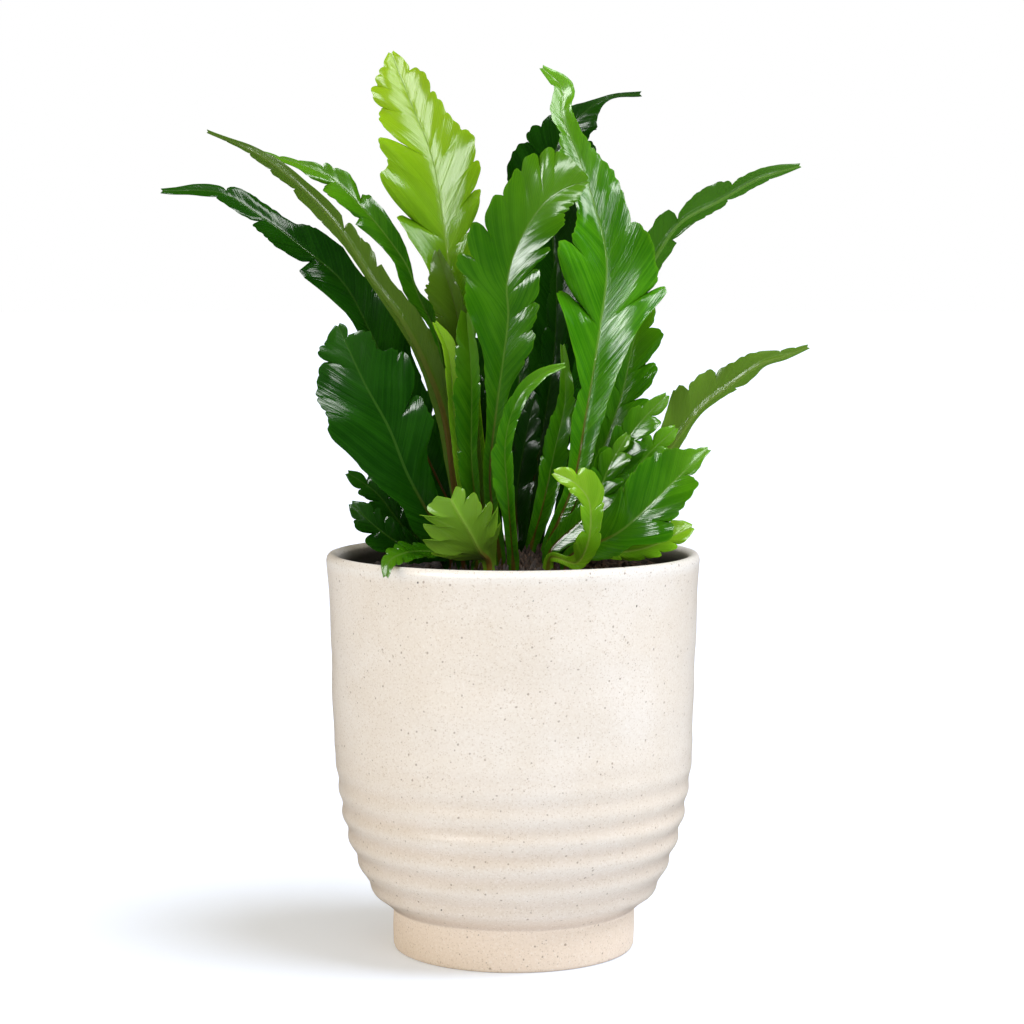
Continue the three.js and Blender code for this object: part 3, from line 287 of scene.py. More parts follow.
def through(values, s):
    """A Catmull-Rom curve through evenly spaced values, at the shares s of its length."""
    v = np.asarray(values, float)
    last = len(v) - 1
    p = np.concatenate([[2 * v[0] - v[1]], v, [2 * v[-1] - v[-2]]])
    x = np.clip(s, 0.0, 1.0) * last
    i = np.minimum(x.astype(int), last - 1)
    t = x - i
    a, b, c, d = p[i], p[i + 1], p[i + 2], p[i + 3]
    return 0.5 * (2 * b + (c - a) * t + (2 * a - 5 * b + 4 * c - d) * t**2 + (3 * b - a - 3 * c + d) * t**3)


def cuts_of(frond, side):
    """The cuts of one margin as places and depths, given or spread by rule."""
    given = frond.get("left_cuts" if side > 0 else "right_cuts")
    if given:
        return np.array(given)
    count, start, end, depth = frond["lobes"]
    seed = frond["seed"] + (0 if side > 0 else 40)
    k = np.arange(count)
    place = k + 0.25 + 0.5 * chance(seed, k) + (0.2 if side > 0 else 0.0)
    deep = depth * (0.6 + 0.8 * chance(seed, k + 20))
    return np.column_stack([start + (end - start) * place / count, deep])


def lobed(cuts, s):
    """The share of the half width that the cuts leave: two quarter ellipses meet in each notch, the shorter
    one on its root side, so that lobes are fullest near their tips."""
    share = np.ones_like(s)
    last = len(cuts) - 1
    for k, (place, depth) in enumerate(cuts):
        before = place - cuts[k - 1][0] if k > 0 else cuts[1][0] - cuts[0][0]
        after = cuts[k + 1][0] - place if k < last else min(before, 2 * (1 - place))
        reach = np.where(s < place, HOOK * before, (1 - HOOK) * after)
        t = np.minimum(np.abs(s - place) / reach, 1.0)
        share = share * (1 - depth * (1 - np.sqrt(1 - (1 - t) ** 2)))
    return share


def lobe_count(cuts, s):
    """How many lobes lie below the share s, with the part of the one that it is in."""
    ends = np.concatenate([[0.0], cuts[:, 0], [1.0]])
    return np.interp(s, ends, np.arange(len(ends)))


def depth_near(cuts, s):
    """How deeply a margin is cut near a place, from 0.15 for hardly to 1 for deep cuts."""
    places, depths = zip(*cuts)
    return np.clip(np.interp(s, places, depths) / 0.5, 0.15, 1.0)


def crown_top(x, y):
    """Height of the crown's dome: a paraboloid over the soil."""
    return SOIL_LEVEL - 1 + CROWN_RISE * (1 - (x * x + y * y) / CROWN_RADIUS**2)


def unit(vectors):
    """Vectors divided by their lengths."""
    return vectors / np.linalg.norm(vectors, axis=-1, keepdims=True)


def rib_points(frond):
    """The midrib's points: the root, a short rise that is almost upright, then the frond's own points."""
    x, y = frond["root"]
    root = np.array([x, y, crown_top(x, y) + 0.5])
    points = np.array(frond["rib"], float)
    away = unit((points[0] - root) * [1, 1, 0]) * ROOT_LEAN + [0, 0, 1]
    return np.vstack([root, root + unit(away) * ROOT_RISE, points])


def rib_curve(frond, steps=60):
    """A centripetal Catmull-Rom curve through the midrib's points, with its length up to each sample."""
    p = rib_points(frond)
    p = np.vstack([2 * p[0] - p[1], p, 2 * p[-1] - p[-2]])
    t = np.linspace(0, 1, steps, endpoint=False)[:, None]
    parts = []
    for a, b, c, d in zip(p[:-3], p[1:-2], p[2:-1], p[3:]):
        d0, d1, d2 = (np.linalg.norm(q) ** 0.5 for q in (b - a, c - b, d - c))
        m1 = ((b - a) / d0 - (c - a) / (d0 + d1) + (c - b) / d1) * d1
        m2 = ((c - b) / d1 - (d - b) / (d1 + d2) + (d - c) / d2) * d1
        parts.append(b + m1 * t + (3 * (c - b) - 2 * m1 - m2) * t**2 + (2 * (b - c) + m1 + m2) * t**3)
    curve = np.vstack([*parts, p[-2][None]])
    length = np.concatenate([[0], np.cumsum(np.linalg.norm(np.diff(curve, axis=0), axis=1))])
    return curve, length


def frames(frond, s, span):
    """Points of the midrib at the shares s of its length, span, with their direction, the upper side's way
    and the left margin's way. A share below 0 goes straight down into the crown."""
    curve, length = rib_curve(frond)
    inside = np.clip(s, 0.0, 1.0)
    at = inside * span
    step = 1e-3 * span

    def sample(place):
        place = np.clip(place, 0, span)
        return np.stack([np.interp(place, length, curve[:, k]) for k in range(3)], axis=-1)

    along = unit(sample(at + step) - sample(at - step))
    point = sample(at) + along * ((s - inside) * span)[..., None]
    face = np.array(frond["face"], float)
    spans = len(face) - 1
    i = np.minimum((inside * spans).astype(int), spans - 1)
    t = smooth(0, 1, inside * spans - i)[..., None]
    up = face[i] * (1 - t) + face[i + 1] * t
    up = unit(up - along * np.sum(up * along, axis=-1, keepdims=True))
    return point, along, up, np.cross(up, along)


def margin_rows(cuts, stub, per_lobe):
    """Places along one margin: the stub, the stalk, then per_lobe to each lobe, closer at its notches."""
    first = cuts[0][0]
    rows = [np.linspace(-stub, 0, 3)[:-1], np.linspace(0, first, 2 * per_lobe, endpoint=False)]
    ends = [c[0] for c in cuts] + [1.0]
    u = 0.5 - 0.5 * np.cos(np.pi * np.arange(per_lobe) / per_lobe)
    u = 0.6 * u + 0.4 * np.arange(per_lobe) / per_lobe
    rows += [a + (b - a) * u for a, b in zip(ends[:-1], ends[1:])]
    return np.concatenate([*rows, [1.0]])


def side_rows(frond, side, stub, length, per_lobe):
    """Rows of one half: where each vein leaves the midrib, always nearer to the tip than the one before it,
    and the place on the margin where it ends."""
    place = margin_rows(cuts_of(frond, side), stub, per_lobe)
    full = np.maximum(through(frond["left" if side > 0 else "right"], place), NARROWEST)
    return np.maximum.accumulate(place - LEAD * smooth(0.1, 0.4, place) * full / length), place


def blade_grid(frond, looks):
    """The middle surface of a frond on a grid whose rows are veins. A vein ends at a place on the margin and
    leaves the midrib nearer to the root. A point of it lies out by its share of the half width, on a half
    that is raised by the fold and arched, swept towards the tip and ruffled more and more towards the margin,
    which is toothed and where each lobe is cupped and finely crimped."""
    length = rib_curve(frond)[1][-1]
    stub = STUB_LENGTH / length
    half = np.linspace(0, 1, looks.columns + 1) ** 1.25
    across = np.concatenate([-half[:0:-1], half])[None, :]
    side = np.where(across > 0, 1.0, -1.0)
    a = np.abs(across)
    left_s, left = side_rows(frond, 1, stub, length, looks.rows_per_lobe)
    right_s, right = side_rows(frond, -1, stub, length, looks.rows_per_lobe)
    s = np.unique(np.concatenate([left_s, right_s]))
    s = s[np.append(np.diff(s) > ROW_SPACING / length, True)][:, None]
    left, right = np.interp(s, left_s, left), np.interp(s, right_s, right)

    def sides(of_left, of_right):
        return np.where(side > 0, of_left, of_right)

    place = sides(left, right)
    inside = np.clip(place, 0.0, 1.0)
    full = np.maximum(sides(through(frond["left"], left), through(frond["right"], right)), NARROWEST)
    point, along, up, to_left = frames(frond, s, length)
    left_cuts, right_cuts = cuts_of(frond, 1), cuts_of(frond, -1)
    on_left, on_right = np.clip(left, 0, 1), np.clip(right, 0, 1)
    cut = sides(lobed(left_cuts, on_left), lobed(right_cuts, on_right))
    lobe = sides(lobe_count(left_cuts, on_left), lobe_count(right_cuts, on_right))
    seed = frond["seed"]
    wander = place * length / TOOTH + 0.5 * lattice(place * length / 11, side * 9, seed)
    tooth = 1 - np.abs(np.sin(np.pi * wander)) * (0.7 + 0.5 * lattice(wander, side * 9, seed + 1))
    reach = full * cut * (1 + 0.07 * lattice(place * length / 7, side * 9, seed + 2))
    reach = reach - looks.teeth / MM * smooth(2, 8, full) * smooth(0.15, 0.3, inside) * tooth * a**6
    reach = np.maximum(reach, NARROWEST)
    start, end = frond["fold"]
    fold = np.radians((start + (end - start) * inside) * smooth(0, 0.12, place))
    turn = frond["waves"] * inside + chance(seed, 5) + sides(0.0, 0.5 * chance(seed, 6))
    grow = full * smooth(0.15, 0.5, inside)
    ruffle = frond["wave"] * grow * np.sin(2 * np.pi * turn) * a**1.7
    deep = sides(depth_near(left_cuts, left), depth_near(right_cuts, right))
    cup = -np.cos(2 * np.pi * lobe) * (0.6 + 0.8 * chance(seed + 3, np.floor(lobe) + side)) * deep
    crimp = a**2.2 * cup + a**1.5 * lattice(place * length / 9, a * 2 + side * 5, seed + 3)
    lift = reach * np.sin(fold) * (a + looks.arch * (a - a * a)) + ruffle + looks.crimp * grow * crimp
    grid = point + to_left * (side * reach * a * np.cos(fold))[..., None]
    grid = grid + up * lift[..., None] + along * (SWEEP * smooth(0.1, 0.4, inside) * reach * a)[..., None]
    return grid, up, np.broadcast_to(s, place.shape), across, reach * a, length


def sheet_solid(grid, up, half_over, half_under):
    """A closed skin round a middle surface: the grid moved up and down along its own normals, which are the
    cross products of its two directions, and joined round its border. Returns points, quads and each point's
    side."""
    rows, columns = grid.shape[:2]
    down_rows = np.gradient(grid, axis=0)
    normal = np.cross(np.gradient(grid, axis=1), down_rows)
    size = np.linalg.norm(normal, axis=-1, keepdims=True)
    normal = np.where(size > 1e-9, normal / np.maximum(size, 1e-9), up)
    normal = np.where(np.sum(normal * up, axis=-1, keepdims=True) < 0, -normal, normal)
    over = grid + normal * half_over[..., None]
    below = grid - normal * half_under[..., None]
    points = np.concatenate([over.reshape(-1, 3), below.reshape(-1, 3)])
    index = np.arange(rows * columns).reshape(rows, columns)
    shift = rows * columns
    a, b, c, d = index[:-1, :-1], index[1:, :-1], index[1:, 1:], index[:-1, 1:]
    top = np.stack([a, b, c, d], axis=-1).reshape(-1, 4)
    bottom = np.stack([a, d, c, b], axis=-1).reshape(-1, 4) + shift
    ring = np.concatenate([index[0, :-1], index[:-1, -1], index[-1, :0:-1], index[:0:-1, 0]])
    after = np.roll(ring, -1)
    wall = np.stack([ring, after, after + shift, ring + shift], axis=-1)
    side = np.concatenate([np.zeros(shift), np.ones(shift)])
    return points, np.concatenate([top, bottom, wall]), side


def outwards(points, faces):
    """The faces turned round if the volume that they enclose comes out negative."""
    a, b, c = (points[faces[:, k]] for k in (0, 1, 2))
    volume = np.sum(a * np.cross(b, c))
    if faces.shape[1] == 4:
        volume += np.sum(a * np.cross(c, points[faces[:, 3]]))
    return faces[:, ::-1] if volume < 0 else faces


def mesh_object(name, points, faces, material, facet_angle=50.0, **attributes):
    """A mesh object at the origin from points in millimetres, shaded smooth up to an angle between faces."""
    mesh = bpy.data.meshes.new(name)
    size = faces.shape[1]
    mesh.vertices.add(len(points))
    mesh.vertices.foreach_set("co", (points * MM).astype(np.float32).ravel())
    mesh.loops.add(faces.size)
    mesh.loops.foreach_set("vertex_index", outwards(points, faces).astype(np.int32).ravel())
    mesh.polygons.add(len(faces))
    mesh.polygons.foreach_set("loop_start", np.arange(0, faces.size, size, dtype=np.int32))
    mesh.update(calc_edges=True)
    mesh.validate()
    for key, values in attributes.items():
        layer = mesh.attributes.new(key, "FLOAT", "POINT")
        layer.data.foreach_set("value", np.asarray(values, np.float32).ravel())
    mesh.shade_smooth()
    mesh.set_sharp_from_angle(angle=math.radians(facet_angle))
    mesh.materials.append(material)
    piece = bpy.data.objects.new(name, mesh)
    bpy.context.scene.collection.objects.link(piece)
    return piece


def finish_piece(piece, node, slot):
    """Places a piece on the part's body, in the stead of its CAD node. The slot is not used."""
    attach(piece, "root")
    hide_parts(node)


def frond_piece(frond, looks):
    """One frond: the middle surface thickened to a thin blade that tapers to its margin, with a ridge along
    the midrib whose height over and under falls off as a bell curve of the distance from it."""
    grid, up, s, across, out, length = blade_grid(frond, looks)
    across = np.broadcast_to(across, s.shape)
    inside = np.clip(s, 0, 1)
    blade = looks.blade / MM * (1 - MARGIN_THINNING * smooth(0.75, 1, np.abs(across)))
    rib = 0.5 * (RIB_AT_TIP + (RIB_AT_ROOT - RIB_AT_TIP) * (1 - inside) ** 2)
    bell = np.exp(-((out / (rib * 1.15)) ** 2)) * (1 - smooth(0.9, 1, inside))
    half_over = 0.5 * blade + RIDGE_OVER * rib * bell
    half_under = 0.5 * blade + RIDGE_UNDER * rib * bell
    points, faces, side = sheet_solid(grid, up, half_over, half_under)
    # Each frond's lightness factor: partly its own green, partly painted light and shading
    tint_and_painted_light = np.full(s.shape, FROND_TINT_AND_PAINTED_LIGHT.get(frond["name"], 1.0))
    values = dict(across=across, share=inside, along=s * length, outward=out * np.sign(across), tint_and_painted_light=tint_and_painted_light)
    both_sides = {key: np.tile(value.ravel(), 2) for key, value in values.items()}
    material = leaf_material(frond["tone"], looks)
    piece = mesh_object("fern_" + frond["name"], points, faces, material, underside=side, **both_sides)
    finish_piece(piece, "frond_" + frond["name"], "frond_" + frond["tone"])
    return piece


def circle_points(radius, turn, z):
    """Points at distances from the Z axis, at angles round it and at heights."""
    return np.stack(np.broadcast_arrays(radius * np.cos(turn), radius * np.sin(turn), z), axis=-1)


def turns(sides):
    """Evenly spaced angles of a full turn."""
    return 2 * np.pi * np.arange(sides) / sides


def capped_rings(rings, first, last):
    """Triangles over rings of points that follow one another, with a fan to a point at either end. Returns
    the points, ring by ring and then the two ends, and the faces."""
    count, sides = rings.shape[:2]
    index = np.arange(count * sides).reshape(count, sides)
    after = np.roll(index, -1, axis=1)
    quads = np.stack([index[:-1], after[:-1], after[1:], index[1:]], axis=-1).reshape(-1, 4)
    low = np.stack([np.full(sides, count * sides), after[0], index[0]], axis=-1)
    high = np.stack([np.full(sides, count * sides + 1), index[-1], after[-1]], axis=-1)
    faces = np.concatenate([quads[:, [0, 1, 2]], quads[:, [0, 2, 3]], low, high])
    return np.vstack([rings.reshape(-1, 3), first, last]), faces


def ring_depth(z):
    """The throwing rings: a cosine along the height that fades out towards the rim, with faint wide bands."""
    fade = 1 - smooth(45, RINGS_FADE_AT, z)
    faint = smooth(65, 85, z) * (1 - smooth(118, 135, z)) * 0.12 * np.cos(2 * np.pi * (z - 76) / BAND_PITCH)
    return fade * 0.5 * np.cos(2 * np.pi * (z - FIRST_RING) / RING_PITCH) + faint


def body_radius(z):
    """The body's outer radius at heights: a curve through the outline's points."""
    outline = np.array(BODY_OUTLINE)
    place = np.interp(z, outline[:, 1], np.arange(len(outline)))
    return through(outline[:, 0], place / (len(outline) - 1))


def pot_profile(looks):
    """The pot's section as distances from the axis and heights, from the middle of its underside, round the
    foot, up the wall, over the rounded rim and down inside to the middle of the floor."""
    low = np.linspace(FOOT_HEIGHT + 2, RINGS_FADE_AT, looks.wall_rows)
    high = np.linspace(RINGS_FADE_AT + 2, POT_HEIGHT - 3.5, looks.wall_rows // 2)
    z = np.concatenate([low, high])
    wall = np.column_stack([body_radius(z) + looks.ring_depth / MM * ring_depth(z), z])
    down = np.linspace(150, 26, 40)
    inner = np.column_stack([body_radius(down) - WALL, down])
    floor = [(44, 17), (40, 12.5), (34, FLOOR_HEIGHT), (0, FLOOR_HEIGHT)]
    return np.concatenate([FOOT_OUTLINE, wall, RIM_OUTLINE, inner, floor])


def pot_piece(looks):
    """The pot: its section turned round the axis, pushed in and out by sines of the angle and height."""
    profile = pot_profile(looks)
    ends = [[0, 0, profile[0, 1]], [0, 0, profile[-1, 1]]]
    rings = circle_points(profile[1:-1, 0][:, None], turns(looks.sides), profile[1:-1, 1][:, None])
    points, faces = capped_rings(rings, *ends)
    angle = np.arctan2(points[:, 1], points[:, 0])
    radius = np.hypot(points[:, 0], points[:, 1])
    z = points[:, 2]
    wide = smooth(20, 45, radius) * smooth(0, 20, z) * smooth(0, 12, POT_HEIGHT + 6 - z)
    sway = 0.5 * np.sin(2 * angle + 0.7) + 0.35 * np.sin(3 * angle + z / 50 + 2)
    shift = wide * looks.unevenness / MM * (sway + 0.4 * np.sin(5 * angle + z / 9))
    points[:, :2] *= (1 + shift / np.maximum(radius, 1))[:, None]
    piece = mesh_object("fern_pot", points, faces, stoneware(looks), 70.0)
    finish_piece(piece, "pot", "stoneware")
    return piece


def soil_height(x, y):
    """Height of the soil: slow sines with noise of three sizes."""
    lumps = np.sin(0.21 * x + 1) * np.cos(0.17 * y) + 0.5 * np.sin(0.09 * x - 0.13 * y)
    fine = 0.8 * lattice(x / 5, y / 5, 3) + 0.45 * lattice(x / 2.2, y / 2.2, 5) + 0.2 * lattice(x, y, 7)
    return SOIL_LEVEL + 0.216 * lumps + 0.6 * fine


def soil_piece(looks):
    """The soil: a disc of noise on a polar grid, with a plain skirt down the pot's wall."""
    turn = turns(looks.sides)
    rings = np.linspace(0, 1, looks.rings + 1)[1:] ** 0.8 * SOIL_RADIUS
    x, y = rings[:, None] * np.cos(turn), rings[:, None] * np.sin(turn)
    top = np.stack([x, y, soil_height(x, y)], axis=-1)
    skirt = [circle_points(radius, turn, z) for radius, z in ((66.0, 143.0), (65.0, SOIL_UNDERSIDE))]
    ends = [[0, 0, float(soil_height(0.0, 0.0))], [0, 0, SOIL_UNDERSIDE]]
    points, faces = capped_rings(np.concatenate([top, np.stack(skirt)]), *ends)
    piece = mesh_object("fern_soil", points, faces, potting_soil("soil", 1.0), 80.0)
    finish_piece(piece, "soil", "soil")
    return piece


def blobs(centres, sizes, turned, shape, rows=4, sides=7):
    """Closed lumps: each a small sphere grid, roughened by draws, stretched, tilted and turned."""
    lat = np.pi * (np.arange(1, rows) / rows)
    sphere = circle_points(np.sin(lat)[:, None], turns(sides), np.cos(lat)[:, None])
    body, faces = capped_rings(sphere, [0, 0, 1], [0, 0, -1])
    count = len(centres)
    rough = 1 + shape * (chance(9.0, np.arange(count * len(body))).reshape(count, -1, 1) - 0.5)
    points = body[None] * rough * sizes[:, None, :]
    x, y, z = points[..., 0], points[..., 1], points[..., 2]
    tilt, turned = (turned * 1.7)[:, None], turned[:, None]
    x, z = x * np.cos(tilt) - z * np.sin(tilt), x * np.sin(tilt) + z * np.cos(tilt)
    x, y = x * np.cos(turned) - y * np.sin(turned), x * np.sin(turned) + y * np.cos(turned)
    points = np.stack([x, y, z], axis=-1) + centres[:, None, :]
    offsets = (np.arange(count) * len(body))[:, None, None]
    return points.reshape(-1, 3), (faces[None] + offsets).reshape(-1, 3)


def scattered(count, seed, reach):
    """Places spread evenly over a disc: the root of a draw times its radius, at a drawn angle."""
    k = np.arange(count)
    radius, turn = np.sqrt(chance(seed[0], k)) * reach, math.tau * chance(seed[1], k)
    return k, radius * np.cos(turn), radius * np.sin(turn)


def crumbs_piece(looks):
    """Crumbs of bark and peat scattered over the soil, half sunk."""
    k, x, y = scattered(looks.crumbs, (1.3, 2.7), 64.5)
    size = 0.5 + 1.9 * chance(3.1, k) ** 3
    centres = np.column_stack([x, y, soil_height(x, y) + 0.1 * size])
    wide, high = 0.5 + 0.5 * chance(4.9, k), 0.45 + 0.3 * chance(5.3, k)
    sizes = np.column_stack([size, size * wide, size * high])
    points, faces = blobs(centres, sizes, math.tau * chance(6.1, k), 0.5)
    piece = mesh_object("fern_crumbs", points, faces, potting_soil("crumbs", 0.6), 40.0)
    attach(piece, "root")
    return piece


def crown_dome():
    """The crown: a dome on a polar grid, roughened by noise, with its foot in the soil."""
    turn = turns(96)
    radius = CROWN_RADIUS * np.linspace(1, 0, 29)[:-1]
    x, y = radius[:, None] * np.cos(turn), radius[:, None] * np.sin(turn)
    lumpy = 0.5 * lattice(x / 3, y / 3, 11) + 0.25 * lattice(x / 1.2, y / 1.2, 13)
    dome = np.stack([x, y, crown_top(x, y) + lumpy * smooth(28, 25, radius)[:, None]], axis=-1)
    foot = [circle_points(r, turn, z) for r, z in ((22.0, CROWN_UNDERSIDE), (CROWN_RADIUS, 145.0))]
    ends = [[0, 0, CROWN_UNDERSIDE], [0, 0, crown_top(0.0, 0.0)]]
    points, faces = capped_rings(np.concatenate([np.stack(foot), dome]), *ends)
    bark = crown_bark("crown", (0.012, 0.006, 0.003), (0.045, 0.024, 0.011))
    piece = mesh_object("fern_crown", points, faces, bark, 60.0)
    finish_piece(piece, "crown", "crown")
    return piece


def crown_scales(looks):
    """The brown scales that stand on the crown between the stalks."""
    k, x, y = scattered(looks.scales, (7.7, 8.3), 27.0)
    tall = looks.scale_length / MM * (0.5 + chance(9.1, k))
    centres = np.column_stack([x, y, crown_top(x, y) + tall * 0.3])
    sizes = np.column_stack([0.35 + 0.3 * chance(9.7, k), 0.25 + 0.1 * chance(10.3, k), tall * 0.5])
    points, faces = blobs(centres, sizes, 0.5 * (chance(11.1, k) - 0.5), 0.2, 4, 5)
    hair = crown_bark("scales", (0.020, 0.009, 0.004), (0.075, 0.036, 0.015))
    piece = mesh_object("fern_scales", points, faces, hair, 50.0)
    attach(piece, "root")
    return piece


def plug(socket, value):
    """Links a value into a socket, or sets the socket to a constant."""
    source = value.source if isinstance(value, Term) else value
    if isinstance(source, bpy.types.NodeSocket):
        socket.id_data.links.new(source, socket)
    elif socket.type == "RGBA":
        socket.default_value = (*source, 1.0)
    else:
        socket.default_value = source


def add_node(tree, kind, settings, inputs):
    """A node of any kind: its settings first, then the values or links of its sockets, by name or place."""
    node = tree.nodes.new(kind)
    for key, value in settings.items():
        setattr(node, key, value)
    for key, value in inputs.items():
        plug(node.inputs[key], value)
    return node


class Term:
    """A shader value: an output socket or a constant, with arithmetic that adds nodes to its tree."""

    def __init__(self, tree, source):
        self.tree = tree
        self.source = source

    def math(self, operation, *others):
        inputs = dict(enumerate((self, *others)))
        node = add_node(self.tree, "ShaderNodeMath", {"operation": operation}, inputs)
        return Term(self.tree, node.outputs[0])

    def __add__(self, other):
        return self.math("ADD", other)

    def __sub__(self, other):
        return self.math("SUBTRACT", other)

    def __mul__(self, other):
        return self.math("MULTIPLY", other)

    def __truediv__(self, other):
        return self.math("DIVIDE", other)

    def __radd__(self, other):
        return Term(self.tree, other) + self

    def __rsub__(self, other):
        return Term(self.tree, other) - self

    def __rmul__(self, other):
        return Term(self.tree, other) * self

    def __rtruediv__(self, other):
        return Term(self.tree, other) / self

    def ramp(self, low, high):
        """0 below low and 1 above high, with a smooth step between."""
        inputs = {"Value": self, "From Min": low, "From Max": high, "To Min": 0.0, "To Max": 1.0}
        node = add_node(self.tree, "ShaderNodeMapRange", {"interpolation_type": "SMOOTHSTEP"}, inputs)
        return Term(self.tree, node.outputs[0])


class Shader:
    """The node tree of a material or a world, with helpers for its nodes."""

    def __init__(self, owner):
        owner.use_nodes = True
        self.owner = owner
        self.tree = owner.node_tree
        self.tree.nodes.clear()

    def node(self, kind, settings=None, output=0, **sockets):
        """A node with one output that is used, whose sockets' names are written with underscores."""
        inputs = {key.replace("_", " "): value for key, value in sockets.items()}
        node = add_node(self.tree, kind, settings or {}, inputs)
        return Term(self.tree, node.outputs[output]) if len(node.outputs) else None

    def attribute(self, name):
        return self.node("ShaderNodeAttribute", {"attribute_name": name}, output="Fac")

    def place(self):
        return self.node("ShaderNodeTexCoord", output="Object")

    def split(self, vector):
        node = add_node(self.tree, "ShaderNodeSeparateXYZ", {}, {0: vector})
        return [Term(self.tree, out) for out in node.outputs]

    def join(self, x, y, z):
        return self.node("ShaderNodeCombineXYZ", X=x, Y=y, Z=z)

    def vector_math(self, operation, inputs):
        node = add_node(self.tree, "ShaderNodeVectorMath", {"operation": operation}, inputs)
        return Term(self.tree, node.outputs[0])

    def scaled(self, vector, factor):
        return self.vector_math("SCALE", {0: vector, "Scale": factor})

    def shifted(self, vector, by):
        return self.vector_math("ADD", {0: vector, 1: by})

    def mix(self, factor, first, second):
        """A blend of two colours."""
        inputs = {0: factor, 6: first, 7: second}
        node = add_node(self.tree, "ShaderNodeMix", {"data_type": "RGBA"}, inputs)
        return Term(self.tree, node.outputs[2])

    def noise(self, vector, scale, detail=2.0, roughness=0.5):
        sockets = dict(Vector=vector, Scale=scale, Detail=detail, Roughness=roughness)
        return self.node("ShaderNodeTexNoise", **sockets)

    def spots(self, vector, scale):
        """Distance to the nearest scattered centre, and a draw for each centre."""
        node = add_node(self.tree, "ShaderNodeTexVoronoi", {}, {"Vector": vector, "Scale": scale})
        draw = self.split(node.outputs["Color"])[0]
        return Term(self.tree, node.outputs["Distance"]), draw

    def bump(self, height, distance, strength=1.0, **normal):
        return self.node("ShaderNodeBump", Height=height, Distance=distance, Strength=strength, **normal)

    def finish(self, **sockets):
        """Closes the tree with a principled surface."""
        surface = self.node("ShaderNodeBsdfPrincipled", **sockets)
        self.node("ShaderNodeOutputMaterial", Surface=surface)
        return self.owner


def new_shader(name):
    """The empty node tree of a new material."""
    return Shader(bpy.data.materials.new(name))


# Linear colours of each tone: the blade, its lighter patches, its tip, its underside and its midrib, then how
# far from the tip the tip's colour reaches, how far up the midrib is brown, and how strongly the leaf mirrors
LEAF_TONES = {
    "lime": dict(blade=(0.075, 0.235, 0.004), patch=(0.17, 0.39, 0.010), tip=(0.36, 0.55, 0.012),
                 under=(0.16, 0.32, 0.015), rib=(0.22, 0.38, 0.05), reach=0.55, brown=0.45, gloss=0.22),
    "bright": dict(blade=(0.12, 0.34, 0.006), patch=(0.22, 0.46, 0.02), tip=(0.28, 0.52, 0.015),
                   under=(0.24, 0.40, 0.04), rib=(0.26, 0.42, 0.06), reach=0.4, brown=0.1, gloss=0.3),
    "mid": dict(blade=(0.022, 0.125, 0.0015), patch=(0.065, 0.24, 0.004), tip=(0.13, 0.34, 0.006),
                under=(0.05, 0.16, 0.006), rib=(0.12, 0.26, 0.03), reach=0.35, brown=0.35, gloss=0.4),
    # The dark tone is partly a deeper green and partly painted shading, for fronds at the back, low down and
    # inside
    "dark": dict(blade=(0.0045, 0.040, 0.001), patch=(0.013, 0.082, 0.0025), tip=(0.018, 0.095, 0.002),
                 under=(0.016, 0.065, 0.003), rib=(0.035, 0.11, 0.01), reach=0.3, brown=0.3, gloss=0.28),
    "olive": dict(blade=(0.055, 0.125, 0.006), patch=(0.10, 0.185, 0.015), tip=(0.10, 0.22, 0.008),
                  under=(0.075, 0.15, 0.012), rib=(0.10, 0.17, 0.02), reach=0.4, brown=0.4, gloss=0.25),
}
BROWN_RIB = (0.12, 0.035, 0.012)

# How light single fronds are beside their tone: partly their own green, partly painted light and shading
# (inner fronds darker, lit ones lighter)
FROND_TINT_AND_PAINTED_LIGHT = {
    "tall_right": 1.45, "front_middle": 0.8, "behind_right": 0.9, "over_lip": 0.6, "inner_front": 0.4,
    "inner_left": 0.4, "dark_middle": 0.8, "folded_middle": 1.1, "curled_olive": 0.7, "short_pale": 1.5,
    "lobed_right": 1.15, "front_right": 1.1, "upper_right": 1.1, "fan_front": 2.2, "green_fold": 0.8,
    "lower_right": 1.5, "long_left_twist": 0.9,
}


def leaf_material(tone, looks):
    """The material of one tone of frond, made once, with the blade's colour from the settings."""
    name = "leaf_" + tone
    found = bpy.data.materials.get(name)
    return found if found else build_leaf(name, {**LEAF_TONES[tone], "blade": getattr(looks, tone)})


